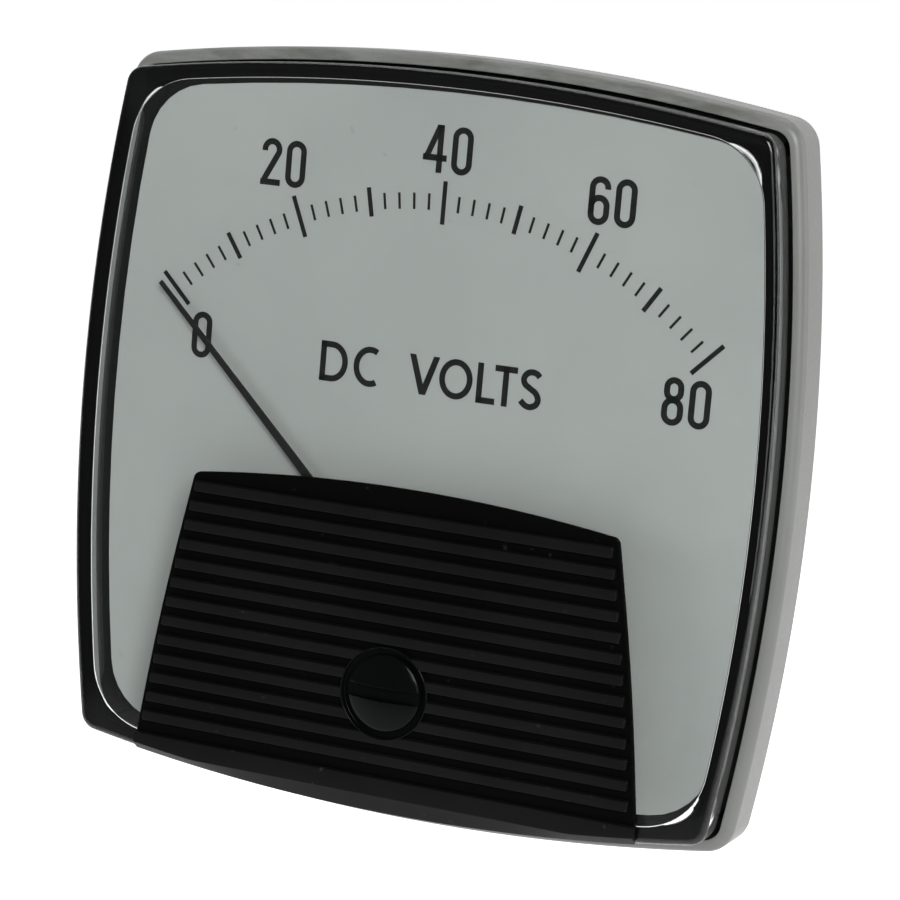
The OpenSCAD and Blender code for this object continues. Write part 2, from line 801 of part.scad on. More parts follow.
// Rectangular band in the plane of the coil, between two half sizes, and w wide
module coil_band(half_in, end_half_in, half_out, end_half_out, w) {
    translate([0, w / 2, coil_mid]) rotate([90, 0, 0]) linear_extrude(w) difference() {
        square([2 * half_out, 2 * end_half_out], center = true);
        square([2 * half_in, 2 * end_half_in], center = true);
    }
}

module coil_former() {
    color("#c3c6c8") upright() at_rest() {
        coil_band(coil_in, end_in, band_out, end_band, coil_w);
        for (s = [-1, 1]) translate([0, s * (coil_w - flange_t) / 2, 0])
            coil_band(coil_in, end_in, coil_out, end_out, flange_t);
    }
}

module coil_winding() {
    color("#b5652b") upright() at_rest()
        coil_band(band_out, end_band, coil_out, end_out, coil_w - 2 * flange_t);
}

// Pivot on a base disc: dir is 1 towards the viewer and -1 away from it
module pivot(h, dir) {
    translate([0, 0, h]) mirror([0, 0, dir > 0 ? 0 : 1]) {
        cylinder(r = base_r, h = base_t);
        cylinder(r = staff_r, h = staff_len);
        translate([0, 0, staff_len]) cylinder(r1 = staff_r - cone_step, r2 = tip_r, h = cone_len);
    }
}

module front_pivot() {
    color("#9fa3a6") upright() at_rest() pivot(coil_front, 1);
}

module rear_pivot() {
    color("#9fa3a6") upright() at_rest() pivot(coil_rear, -1);
}

// Flat spiral with its collet; the outer end lies below the axis
module hairspring(h) {
    steps = turn_steps * spring_turns;
    pitch = (spring_r - collet_r - spring_t / 2) / spring_turns;
    start_r = collet_r + spring_t / 2 - spring_sunk;
    function spiral(i, side) =
        let (turn = i / turn_steps, a = 360 * turn - 90, r = start_r + pitch * turn + side)
        [r * cos(a), r * sin(a)];
    inner = [for (i = [0 : steps]) spiral(i, -spring_t / 2)];
    outer = [for (i = [steps : -1 : 0]) spiral(i, spring_t / 2)];
    translate([0, 0, h]) linear_extrude(spring_w) polygon(concat(inner, outer));
    tube(collet_r, staff_r + fit_gap, h - (collet_t - spring_w) / 2, h + (collet_t + spring_w) / 2);
}

module front_hairspring() {
    color("#c7a14f") upright() at_axis() hairspring(front_spring_h);
}

module rear_hairspring() {
    color("#c7a14f") upright() at_axis() hairspring(rear_spring_h);
}

// ---- Magnet system, bridges and bearings ----

module core_magnet() {
    color("#6e7073") upright() at_axis() rod(core_r, ring_back, ring_front);
}

// Brass spacers that hold the core in the ring, above and below it where the coil does not reach
module core_spacers() {
    side = 2 * ring_bore_r * [sin(spacer_spread), cos(spacer_spread)];
    color("#c9a45a") upright() at_axis() for (s = [0, 180]) rotate([0, 0, s]) intersection() {
        tube(ring_bore_r - fit_gap, core_r + fit_gap, ring_back, ring_front);
        translate([0, 0, ring_back - over]) linear_extrude(core_len + 2 * over)
            polygon([[0, 0], side, [-side.x, side.y]]);
    }
}

module yoke_ring() {
    color("#7f8284") upright() at_axis() difference() {
        tube(ring_r, ring_bore_r, ring_back, ring_front);
        both_sides(bridge_screw_x) rod(screw_r + fit_gap, ring_back - over, ring_front + over);
    }
}

// Strap across the ring with a leg over each bridge screw; foot is the height that the legs stand on
module bridge(front, back, foot) {
    strap_end = ring_r - strap_inset;
    low = min(foot, back);
    high = max(foot, front);
    difference() {
        union() {
            translate([-strap_end, -strap_half, back]) cube([2 * strap_end, 2 * strap_half, front - back]);
            rod(jewel_r + strap_boss, back, front);
            for (s = [-1, 1]) translate([s * bridge_screw_x - leg_half, -strap_half, low])
                cube([2 * leg_half, 2 * strap_half, high - low]);
        }
        rod(jewel_r + fit_gap, back - over, front + over);
        both_sides(bridge_screw_x) rod(screw_r + fit_gap, low - over, high + over);
    }
}

module front_bridge() {
    color("#b9bcbe") upright() at_axis() difference() {
        bridge(bridge_front, bridge_back, ring_front);
        both_sides(bridge_screw_x) rod(sunk_head_r + fit_gap, bridge_seat, bridge_front + over);
    }
}

module rear_bridge() {
    color("#b9bcbe") upright() at_axis() bridge(rear_bridge_front, rear_bridge_back, frame_back);
}

// Screws through the front bridge, the ring and the frame into the rear bridge
module bridge_screws() {
    color("#a4a7aa") upright() at_axis() both_sides(bridge_screw_x)
        slotted_screw(screw_r, sunk_head_r, pan_t, bridge_seat, bridge_seat - rear_bridge_front);
}

// Jewel screw with a conical cup at its inner end; dir is 1 for the front one and -1 for the rear one
module jewel_screw(h, dir) {
    translate([0, 0, h]) mirror([0, 0, dir > 0 ? 0 : 1]) difference() {
        cylinder(r = jewel_r, h = jewel_screw_len);
        cylinder(r1 = cup_r, r2 = cup_tip_r, h = cup_depth);
        translate([0, 0, -eps]) cylinder(r = cup_r, h = 2 * eps);
        translate([-jewel_r - over, -jewel_slot_w / 2, jewel_screw_len - jewel_slot_d])
            cube([2 * (jewel_r + over), jewel_slot_w, over]);
    }
}

module front_jewel_screw() {
    color("#c9a45a") upright() at_axis() jewel_screw(front_screw_h, 1);
}

module rear_jewel_screw() {
    color("#c9a45a") upright() at_axis() jewel_screw(rear_screw_h, -1);
}

module front_lock_nut() {
    color("#c9a45a") upright() at_axis()
        hex_nut(lock_flats, jewel_r + fit_gap, front_nut_h, front_nut_h + lock_nut_t);
}

module rear_lock_nut() {
    color("#c9a45a") upright() at_axis()
        hex_nut(lock_flats, jewel_r + fit_gap, rear_nut_h, rear_nut_h + lock_nut_t);
}

// Fixed tab under the rear lock nut that holds the outer end of the rear hairspring
module rear_spring_tab() {
    top = rear_spring_h + spring_w + axial_gap;
    back = rear_bridge_back - tab_t;
    color("#c9a45a") upright() at_axis() difference() {
        union() {
            rod(jewel_r + arm_ring, back, rear_bridge_back);
            translate([-tab_half, -tab_r - tab_t, back]) cube([2 * tab_half, tab_r + tab_t, tab_t]);
            translate([-tab_half, -tab_r - tab_t, back]) cube([2 * tab_half, tab_t, top - back]);
        }
        rod(jewel_r + fit_gap, back - over, rear_bridge_back + over);
    }
}

// Die-cast plate behind the ring, with pads on the case bosses and two posts for the dial
module support_frame() {
    color("#9a9c9c") upright() at_axis() difference() {
        union() {
            rod(ring_r + frame_reach, frame_back, ring_back);
            translate([-boss_x, boss_rise - boss_arm_half, frame_back])
                cube([2 * boss_x, 2 * boss_arm_half, frame_t]);
            translate([-post_x, -post_drop - post_arm_half, frame_back])
                cube([2 * post_x, 2 * post_arm_half, frame_t]);
            both_sides(boss_x) translate([0, boss_rise, 0]) rod(boss_r, frame_back, ring_back);
            both_sides(post_x) translate([0, -post_drop, 0]) {
                rod(post_foot_r, frame_back, ring_back);
                rod(post_r, ring_back - eps, dial_back);
            }
        }
        rod(coil_out + frame_clear, frame_back - over, ring_back + over);
        both_sides(bridge_screw_x) rod(screw_r + fit_gap, frame_back - over, ring_back + over);
        both_sides(boss_x) translate([0, boss_rise, 0])
            rod(screw_r + run_gap, frame_back - over, ring_back + over);
        both_sides(post_x) translate([0, -post_drop, 0])
            rod(screw_r + fit_gap, dial_h - dial_screw_len - axial_gap, dial_back + over);
    }
}

module movement_screws() {
    color("#a4a7aa") upright() at_axis() both_sides(boss_x) translate([0, boss_rise, 0])
        slotted_screw(screw_r, dial_screw_head_r, pan_t, ring_back, movement_screw_len);
}

// ---- Wiring and terminals ----

// Wire-wound resistor in series with the coil; its left lead is soldered to the left lug
module series_resistor() {
    y = resistor_y;
    h = resistor_h;
    lug_x = -terminal_spacing / 2;
    color("#7c8f6a") upright() {
        translate([-resistor_half, y, h]) rotate([0, 90, 0]) cylinder(r = resistor_r, h = 2 * resistor_half);
        wire([[eps - resistor_half, y, h], [-resistor_end, y, h], [lug_x, y - 2, h - 5],
            [lug_x, lug_end - 2, back_inside + lug_t + lead_r]], lead_r);
        wire([[resistor_half - eps, y, h], [resistor_end, y, h]], lead_r);
    }
}

// Insulated leads: one from the resistor to the rear spring tab, one from the right lug to the frame
module hookup_leads() {
    y = resistor_y;
    h = resistor_h;
    lug_x = terminal_spacing / 2;
    lug_h = back_inside + lug_t + wire_r - 0.03;
    rise_h = (lug_h + frame_back) / 2;
    tab_end = [0, -pivot_drop - tab_r - tab_t - wire_r, rear_bridge_back - tab_t / 2];
    frame_end = [boss_x - 5, boss_rise - pivot_drop + boss_arm_half + wire_r, frame_back + 1];
    color("#3b3f8c") upright() {
        wire([[resistor_end + 0.1, y, h], [13.5, y - 2, h], [14.5, 4, h], [12, -12, h - 2],
            [7, -pivot_drop - 4, h - 2], tab_end], wire_r);
        wire([[lug_x, lug_end - 0.2, lug_h], [lug_x, lug_end - 2, lug_h + 0.3],
            [17.5, 12.5, lug_h + 4.1], [20, 7, rise_h], [20, 0, frame_back - 3], frame_end], wire_r);
    }
}

module solder_lugs() {
    color("#d8d2b0") upright() translate([0, terminal_rise, 0]) both_sides(terminal_spacing / 2)
        difference() {
            union() {
                rod(lug_ring_r, back_inside, back_inside + lug_t);
                translate([-lug_half, 0, back_inside]) cube([2 * lug_half, lug_tail, lug_t]);
            }
            rod(terminal_r + run_gap, back_inside - over, back_inside + lug_t + over);
        }
}

// Studs with a hexagonal head inside the barrel; the end past the nuts is thinner, so a nut starts easily
module terminal_studs() {
    head = back_inside + lug_t;
    end = -barrel_d - terminal_len;
    end_r = terminal_r - lead_in;
    color("#c2b280") upright() translate([0, terminal_rise, 0]) both_sides(terminal_spacing / 2) {
        stud_tip(end_r, end);
        rod(end_r, end + tip_chamfer, free_end + eps);
        rod(terminal_r, free_end, head + eps);
        hex_block(head_flats, head, head + terminal_head_t);
    }
}

module terminal_washers() {
    color("#b7b9bb") upright() translate([0, terminal_rise, 0]) both_sides(terminal_spacing / 2)
        tube(outer_washer_r, terminal_r + run_gap, clamp_top, -barrel_d);
}

module clamp_nuts() {
    color("#c2b280") upright() translate([0, terminal_rise, 0]) both_sides(terminal_spacing / 2)
        hex_nut(nut_flats, terminal_r + fit_gap, clamp_top - nut_t, clamp_top);
}

module lead_nuts() {
    color("#c2b280") upright() translate([0, terminal_rise, 0]) both_sides(terminal_spacing / 2)
        hex_nut(nut_flats, terminal_r + fit_gap, free_end, free_end + nut_t);
}

case_base();
mounting_studs();
clear_cover();
ribbed_mask();
zero_adjuster();
adjuster_washer();
zero_arm();
dial_plate();
dial_screws();
stop_pins();
pointer();
balance_weights();
coil_former();
coil_winding();
front_pivot();
rear_pivot();
front_hairspring();
rear_hairspring();
core_magnet();
core_spacers();
yoke_ring();
front_bridge();
rear_bridge();
front_jewel_screw();
rear_jewel_screw();
front_lock_nut();
rear_lock_nut();
bridge_screws();
rear_spring_tab();
support_frame();
movement_screws();
series_resistor();
hookup_leads();
solder_lugs();
terminal_studs();
terminal_washers();
clamp_nuts();
lead_nuts();
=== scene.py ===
"""Looks of the analog panel meter: cover, bezel, mask, adjuster, printed dial and every finish.

Lengths are millimetres in the front view (x right, y up, h out of the panel towards the viewer)
until front() turns them into metres in the part's frame.
"""
import json
import math

import bmesh
import bpy
import numpy as np
from mathutils import Matrix, Vector


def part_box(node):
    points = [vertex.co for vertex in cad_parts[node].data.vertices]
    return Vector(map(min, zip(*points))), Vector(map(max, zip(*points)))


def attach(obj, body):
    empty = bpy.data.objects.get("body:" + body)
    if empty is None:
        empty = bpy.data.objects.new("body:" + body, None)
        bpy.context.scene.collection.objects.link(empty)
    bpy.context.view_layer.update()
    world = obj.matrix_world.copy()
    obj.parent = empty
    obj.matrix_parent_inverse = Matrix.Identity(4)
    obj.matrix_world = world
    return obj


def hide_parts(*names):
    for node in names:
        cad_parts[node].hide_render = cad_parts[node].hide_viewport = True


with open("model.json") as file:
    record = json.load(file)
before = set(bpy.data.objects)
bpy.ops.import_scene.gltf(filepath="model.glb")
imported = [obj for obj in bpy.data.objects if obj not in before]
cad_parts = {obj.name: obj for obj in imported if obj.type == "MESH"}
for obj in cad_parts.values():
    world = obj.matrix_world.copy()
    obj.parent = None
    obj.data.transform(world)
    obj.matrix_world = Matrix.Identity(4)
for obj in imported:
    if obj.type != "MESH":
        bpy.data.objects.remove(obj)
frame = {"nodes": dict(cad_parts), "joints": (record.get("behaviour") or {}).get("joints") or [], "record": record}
scene = bpy.context.scene
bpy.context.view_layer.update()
MM = 0.001


def node_mm(node):
    """Lowest and highest corner of a CAD node as (x, y, h) in millimetres."""
    (x0, y0, z0), (x1, y1, z1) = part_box(node)
    return np.array((x0, z0, -y1)) / MM, np.array((x1, z1, -y0)) / MM


# ---- Sizes read from the frame, and the few that the boxes don't give ----
case_low, case_high = node_mm("case_base")
cover_low, cover_high = node_mm("clear_cover")
head_low, head_high = node_mm("zero_adjuster")
BEZEL_HALF = case_high[0]
BEZEL_D = case_high[2]
BARREL_BACK = case_low[2]
BARREL_R = 34.9
BARREL_WALL = 1.8
BACK_T = 2.2
LIP_W = 1.5
BULGE_R = 240.0
COVER_HALF = cover_high[0]
FLOOR_H = cover_low[2]
WINDOW_FRONT = cover_high[2]
WINDOW_BACK = WINDOW_FRONT - 1.6
WINDOW_HALF = COVER_HALF - 1.75
DIAL_H = node_mm("dial_plate")[1][2]
MASK_TOP, RIB_TOP = node_mm("ribbed_mask")[1][1:]
ADJUSTER_Y = (head_low[1] + head_high[1]) / 2
PIVOT_Y = frame["joints"][0]["pos_m"][2] / MM
PEG_X = 22.0
# Softening of small edges, overlap of joined pieces, overshoot of cutters, offset of equal faces
HAIR, SINK, CUT_PAST, TOUCH = 0.1, 0.05, 1.0, 0.001


# ---- Meshes ----
def front(points):
    """Front-view millimetres (x, y, h) to metres in the part's frame."""
    p = np.atleast_2d(np.asarray(points, dtype=float))
    return np.stack([p[:, 0], -p[:, 2], p[:, 1]], 1) * MM


def solid_mesh(name, points, faces):
    """Mesh from front-view points, with its faces turned outwards."""
    mesh = bpy.data.meshes.new(name)
    mesh.from_pydata([tuple(p) for p in front(points)], [], faces)
    bm = bmesh.new()
    bm.from_mesh(mesh)
    bmesh.ops.recalc_face_normals(bm, faces=bm.faces)
    bm.to_mesh(mesh)
    bm.free()
    return mesh


def add_object(name, points, faces, material, slot, body="meter_body", sharp=35, cuts=(),
               bevel=None):
    """A piece from front-view points, less the shells in cuts; edges over sharp degrees stay."""
    obj = bpy.data.objects.new(name, solid_mesh(name, points, faces))
    scene.collection.objects.link(obj)
    for shell in cuts:
        cut(obj, *shell)
    if bevel:
        break_edges(obj, bevel)
    obj.data.materials.clear()
    obj.data.materials.append(material)
    shade(obj, sharp)
    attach(obj, body)
    return obj


def bake(obj):
    """Applies a piece's modifiers."""
    depsgraph = bpy.context.evaluated_depsgraph_get()
    result = bpy.data.meshes.new_from_object(obj.evaluated_get(depsgraph))
    obj.modifiers.clear()
    obj.data = result


def cut(obj, points, faces):
    """Takes a closed shell away from a piece."""
    tool = bpy.data.objects.new("cutter", solid_mesh("cutter", points, faces))
    scene.collection.objects.link(tool)
    boolean = obj.modifiers.new("cut", "BOOLEAN")
    boolean.operation = "DIFFERENCE"
    boolean.solver = "EXACT"
    boolean.object = tool
    bake(obj)
    bpy.data.objects.remove(tool)


def break_edges(obj, width_mm):
    """Small round on the sharp edges."""
    bevel = obj.modifiers.new("bevel", "BEVEL")
    bevel.width = width_mm * MM
    bevel.segments = 2
    bevel.limit_method = "ANGLE"
    bevel.angle_limit = math.radians(50)
    bake(obj)


def shade(obj, sharp):
    """Smooth shading that keeps flat faces flat and the edges over `sharp` degrees crisp."""
    obj.data.shade_smooth()
    obj.data.set_sharp_from_angle(angle=math.radians(sharp))
    weighted = obj.modifiers.new("weighted", "WEIGHTED_NORMAL")
    weighted.keep_sharp = True
    weighted.weight = 100
    bake(obj)


def loft(rings, caps=True):
    """Points and faces of a skin through rings of equal point count, with flat ends."""
    n = len(rings[0])
    faces = []
    for a in range(0, (len(rings) - 1) * n, n):
        b = a + n
        faces += [(a + i, a + (i + 1) % n, b + (i + 1) % n, b + i) for i in range(n)]
    if caps:
        last = (len(rings) - 1) * n
        faces += [tuple(range(n)), tuple(range(last, last + n))]
    return np.concatenate(rings), faces


def join(*shells):
    """Several (points, faces) shells as one."""
    points, faces, base = [], [], 0
    for p, f in shells:
        points.append(np.asarray(p, dtype=float))
        faces += [tuple(i + base for i in face) for face in f]
        base += len(p)
    return np.concatenate(points), faces


def at_height(outline, h):
    """Ring at height h from a plane outline."""
    return np.column_stack([outline, np.full(len(outline), h)])


def round_ring(radius, h, like=None, n=96, centre=(0, 0)):
    """Circle; with `like` its points lie at the same bearings as another outline's."""
    a = np.arctan2(like[:, 1], like[:, 0]) if like is not None else np.arange(n) * 2 * math.pi / n
    x, y = centre[0] + radius * np.cos(a), centre[1] + radius * np.sin(a)
    return at_height(np.stack([x, y], 1), h)


def drill(x, y, r, h0, h1, n=64):
    """Round rod along h, as a piece or a cutter."""
    return loft([round_ring(r, h0, n=n, centre=(x, y)), round_ring(r, h1, n=n, centre=(x, y))])


def bulged_square(half, corner, side_steps=44, corner_steps=12):
    """Outline of a square with bulged sides; outlines of any half width stay parallel."""
    side_r = BULGE_R - BEZEL_HALF + half
    d = half - side_r
    t = (d + math.sqrt(2 * (side_r - corner) ** 2 - d * d)) / 2
    a = math.atan2(t, t - d)
    side = np.linspace(-a, a, side_steps, endpoint=False)
    bend = np.linspace(a, math.pi / 2 - a, corner_steps, endpoint=False)
    quarter = np.concatenate([
        np.stack([d + side_r * np.cos(side), side_r * np.sin(side)], 1),
        np.stack([t + corner * np.cos(bend), t + corner * np.sin(bend)], 1)])
    turn_relief_and_shade = [np.array([[math.cos(k), math.sin(k)], [-math.sin(k), math.cos(k)]])
             for k in np.arange(4) * math.pi / 2]
    return np.concatenate([quarter @ m for m in turn_relief_and_shade])


def square_ring(half, corner, h):
    """Bulged square at height h."""
    return at_height(bulged_square(half, corner), h)


def edge(half, corner, h, r, steps, inward=True, up=True):
    """Rings of a rounded edge of radius r that ends on height h."""
    rings = []
    for a in np.linspace(0, math.pi / 2, steps + 1):
        inset = r * (1 - math.cos(a))
        side = inset if inward else -inset
        height = h - r + r * math.sin(a) if up else h + r - r * math.sin(a)
        rings.append(square_ring(half - side, corner - side, height))
    return rings


# ---- Materials ----
class Tree:
    """Short calls for building a node tree."""

    def __init__(self, tree):
        self.tree = tree

    def add(self, kind, **values):
        """A new node with its properties set."""
        node = self.tree.nodes.new(kind)
        for key, value in values.items():
            setattr(node, key, value)
        return node

    def link(self, source, target):
        """Joins two sockets."""
        self.tree.links.new(source, target)

    def axis(self, place, letter):
        """One coordinate of a place."""
        split = self.add("ShaderNodeSeparateXYZ")
        self.link(place, split.inputs[0])
        return split.outputs[letter]

    def math(self, operation, a, b):
        """Two sockets combined."""
        node = self.add("ShaderNodeMath", operation=operation)
        self.link(a, node.inputs[0])
        self.link(b, node.inputs[1])
        return node.outputs[0]

    def ramp(self, source, low, high, value_low, value_high):
        """Straight ramp from value_low at low to value_high at high, level beyond them."""
        node = self.add("ShaderNodeMapRange")
        for name, value in (("From Min", low), ("From Max", high),
                            ("To Min", value_low), ("To Max", value_high)):
            node.inputs[name].default_value = value
        self.link(source, node.inputs["Value"])
        return node.outputs["Result"]

    def mix_shaders(self, factor, a, b):
        """Shader a where the factor is 0, b where it is 1."""
        node = self.add("ShaderNodeMixShader")
        self.link(factor, node.inputs["Fac"])
        self.link(a, node.inputs[1])
        self.link(b, node.inputs[2])
        return node.outputs["Shader"]

    def rays(self):
        """1 for a ray that the camera sends, and 1 for one in gloss or glass."""
        path = self.add("ShaderNodeLightPath").outputs
        return path["Is Camera Ray"], self.math("MAXIMUM", path["Is Glossy Ray"],
                                                path["Is Transmission Ray"])


class Nodes(Tree):
    """A node material with its main shader."""

    def __init__(self, name):
        self.material = bpy.data.materials.new(name)
        self.material.use_nodes = True
        super().__init__(self.material.node_tree)
        self.shader = self.tree.nodes["Principled BSDF"]
        self.out = self.tree.nodes["Material Output"]
        self.place = self.add("ShaderNodeTexCoord").outputs["Object"]

    def set(self, **values):
        """Sets numbers on the main shader's sockets."""
        for key, value in values.items():
            self.shader.inputs[key.replace("_", " ")].default_value = value

    def drive(self, **sources):
        """Links sockets to the main shader's sockets."""
        for key, source in sources.items():
            self.link(source, self.shader.inputs[key.replace("_", " ")])

    def noise(self, per_mm, detail=4.0, rough=0.55, stretch=(1, 1, 1)):
        """Noise with features of about 1/per_mm millimetres."""
        mapping = self.add("ShaderNodeMapping")
        mapping.inputs["Scale"].default_value = stretch
        self.link(self.place, mapping.inputs["Vector"])
        node = self.add("ShaderNodeTexNoise")
        node.inputs["Scale"].default_value = per_mm / MM
        node.inputs["Detail"].default_value = detail
        node.inputs["Roughness"].default_value = rough
        self.link(mapping.outputs["Vector"], node.inputs["Vector"])
        return node.outputs["Fac"]

    def mix(self, factor, a, b):
        """Colour from a to b, each a socket or a colour, by a factor socket."""
        node = self.add("ShaderNodeMix", data_type="RGBA")
        for name, value in (("Factor", factor), ("A", a), ("B", b)):
            if hasattr(value, "is_output"):
                self.link(value, node.inputs[name])
            else:
                node.inputs[name].default_value = (*value, 1)
        return [s for s in node.outputs if s.type == "RGBA"][0]

    def bump(self, source, height_mm):
        """Relief of that height on the main shader."""
        node = self.add("ShaderNodeBump")
        node.inputs["Distance"].default_value = height_mm * MM
        node.inputs["Strength"].default_value = 1.0
        self.link(source, node.inputs["Height"])
        self.drive(Normal=node.outputs["Normal"])


def scaled(colour, factor):
    """A colour made lighter or darker."""
    return tuple(c * factor for c in colour)


# Heights in millimetres over which the streaked darkening of the top side sets in
TOP_STREAK_LOW, TOP_STREAK_HIGH = 39.0, 41.5


def moulded(name, colour, roughness, spread=0.06, grain=0.004, specular=0.5, dust=None, top_streak_colour=None):
    """Moulded plastic: faint flow marks, orange-peel gloss and a fine grain.

    Where a colour is given for it, dust lies on it in specks, and the top side is darkened in streaks.
    """
    n = Nodes(name)
    flow = n.noise(0.06, detail=3)
    fine = n.noise(2.2, detail=5)
    dark, light = scaled(colour, 1 - spread), scaled(colour, 1 + spread)
    base = n.mix(n.ramp(flow, 0.35, 0.65, 0, 1), dark, light)
    if dust:
        base = n.mix(n.ramp(n.noise(0.8, detail=2), 0.72, 0.78, 0, 0.7), base, dust)
    if top_streak_colour:
        # The top side is darkened in streaks, fully above the upper height.
        on_top = n.ramp(n.axis(n.place, "Z"), TOP_STREAK_LOW * MM, TOP_STREAK_HIGH * MM, 0, 0.7)
        streaks = n.ramp(n.noise(0.5, 5, 0.65, stretch=(0.25, 1, 1)), 0.4, 0.62, 0, 1)
        base = n.mix(n.math("MULTIPLY", on_top, streaks), base, top_streak_colour)
    n.drive(Base_Color=base, Roughness=n.ramp(fine, 0.3, 0.7, roughness * 0.88, roughness * 1.12))
    n.set(IOR=1.46, Specular_IOR_Level=specular)
    n.bump(fine, grain)
    return n.material


def metal(name, colour, roughness, brushed=(1, 1, 1), stain=0.12, bump_mm=0.002):
    """Metal with a brushed or ground grain and faint stains."""
    n = Nodes(name)
    grain = n.noise(3.0, 4, 0.6, brushed)
    blot = n.noise(0.25, detail=4)
    n.drive(Base_Color=n.mix(n.ramp(blot, 0.4, 0.7, 0, 1), colour, scaled(colour, 1 - stain)),
            Roughness=n.ramp(grain, 0.3, 0.7, roughness * 0.75, roughness * 1.25))
    n.set(Metallic=1.0)
    n.bump(grain, bump_mm)
    return n.material


def clear_acrylic(name):
    """Clear acrylic with hairline scratches; shadows and bounced light pass straight through it."""
    n = Nodes(name)
    scratch = n.noise(1.2, 2, 0.5, stretch=(0.12, 1, 1))
    n.drive(Roughness=n.ramp(scratch, 0.62, 0.8, 0.012, 0.06))
    n.set(Base_Color=(0.985, 0.995, 0.992, 1), IOR=1.49, Transmission_Weight=1.0)
    path = n.add("ShaderNodeLightPath").outputs
    through = n.math("MAXIMUM", path["Is Shadow Ray"], path["Is Diffuse Ray"])
    clear = n.add("ShaderNodeBsdfTransparent")
    clear.inputs["Color"].default_value = (0.93, 0.94, 0.935, 1)
    shown = n.mix_shaders(through, n.shader.outputs["BSDF"], clear.outputs["BSDF"])
    n.link(shown, n.out.inputs["Surface"])
    return n.material


def dial_paint(name):
    """Matt grey paint with faint clouds and a few pinhead specks."""
    n = Nodes(name)
    cloud = n.noise(0.035, detail=3)
    speck = n.noise(0.55, detail=2)
    fine = n.noise(4.0, detail=4)
    base = n.mix(n.ramp(cloud, 0.35, 0.65, 0, 1), (0.35, 0.368, 0.355), (0.385, 0.405, 0.39))
    n.drive(Base_Color=n.mix(n.ramp(speck, 0.74, 0.79, 0, 0.35), base, (0.25, 0.26, 0.25)),
            Roughness=n.ramp(fine, 0.3, 0.7, 0.5, 0.62))
    n.bump(fine, 0.003)
    return n.material


def ink(name, colour):
    """Screen-printed ink, a little uneven."""
    n = Nodes(name)
    uneven = n.noise(1.5, detail=4)
    n.drive(Base_Color=n.mix(n.ramp(uneven, 0.4, 0.7, 0, 1), colour, scaled(colour, 1.9)))
    n.set(Roughness=0.6, Specular_IOR_Level=0.1)
    n.bump(uneven, 0.002)
    return n.material


def winding(name):
    """Enamelled wire laid in close turns, darker between the turns: painted shade."""
    n = Nodes(name)
    wave = n.add("ShaderNodeTexWave", bands_direction="X")
    wave.inputs["Scale"].default_value = 0.55 / MM
    wave.inputs["Distortion"].default_value = 0.4
    n.link(n.place, wave.inputs["Vector"])
    turn_relief_and_shade = wave.outputs["Fac"]
    # The colour runs from dark in the creases between turns to light on their crowns: painted shade. The same wave
    # also gives the turns' relief.
    n.drive(Base_Color=n.mix(turn_relief_and_shade, (0.25, 0.07, 0.025), (0.62, 0.26, 0.11)))
    n.set(Metallic=0.85, Roughness=0.3)
    n.bump(turn_relief_and_shade, 0.03)
    return n.material


MATERIALS = {
    "case_grey": moulded("case_grey", (0.192, 0.196, 0.186), 0.34, spread=0.05,
                         dust=(0.09, 0.09, 0.075), top_streak_colour=(0.085, 0.088, 0.075)),
    "clear_acrylic": clear_acrylic("clear_acrylic"),
    "mask_black": moulded("mask_black", (0.005, 0.0056, 0.005), 0.4, spread=0.2, specular=0.12,
                          dust=(0.03, 0.03, 0.028)),
    "adjuster_black": moulded("adjuster_black", (0.002, 0.0023, 0.0022), 0.15, spread=0.2,
                              grain=0.001, specular=0.1),
    "dial_paint": dial_paint("dial_paint"),
    "pointer_black": ink("pointer_black", (0.006, 0.006, 0.006)),
    "zinc_steel": metal("zinc_steel", (0.62, 0.61, 0.57), 0.32),
    "brass": metal("brass", (0.72, 0.52, 0.24), 0.3),
    "copper": winding("copper"),
    "spring_bronze": metal("spring_bronze", (0.78, 0.58, 0.3), 0.25),
    "magnet": metal("magnet", (0.3, 0.3, 0.31), 0.45, brushed=(1, 1, 6), stain=0.2),
    "soft_iron": metal("soft_iron", (0.46, 0.47, 0.48), 0.38, brushed=(6, 1, 1), stain=0.2),
    "bridge_alu": metal("bridge_alu", (0.75, 0.76, 0.77), 0.35, brushed=(8, 1, 1)),
    "cast_alu": metal("cast_alu", (0.58, 0.59, 0.6), 0.55, stain=0.1, bump_mm=0.02),
    "resistor_body": moulded("resistor_body", (0.16, 0.22, 0.12), 0.55, spread=0.12, grain=0.02),
    "lead_blue": moulded("lead_blue", (0.03, 0.05, 0.25), 0.35, spread=0.08, grain=0.002),
}
INK = ink("dial_ink", (0.004, 0.0045, 0.0045))
# Near-black for the tray, the barrel's inside and the bosses: painted shade for the dark inside the cover's walls,
# which the cover's see-through shadows would otherwise light.
TRAY_SHADE_BLACK = moulded("tray_shade_black", (0.003, 0.003, 0.003), 0.75, spread=0.2, grain=0.001,
                     specular=0.2)
# Darker copy of the mask's black for the plate between the ribs: painted shade in the grooves; its specks are real
# dust.
GROOVE_SHADE_BLACK = moulded("groove_shade_black", (0.001, 0.001, 0.001), 0.6, spread=0.2, specular=0.05,
                      dust=(0.015, 0.015, 0.013))


def dress_cad_nodes():
    """Gives each carried-over CAD node its slot's finish."""
    for entry in frame["record"]["subparts"]:
        obj = frame["nodes"][entry["node"]]
        obj.data.materials.clear()
        obj.data.materials.append(MATERIALS[entry["material_slot"]])


# ---- Case and cover ----
CASE_CORNER, TRAY_CORNER = 3.6, 2.1
BEZEL_EDGE_R, BARREL_EDGE_R, CASE_FILLET = 1.2, 1.5, 0.15
PANEL_STEP = 0.3
AXLE_R = 0.5
BOSS_R, BOSS_BORE_R, BOSS_SINK = 3.6, 1.12, 0.5


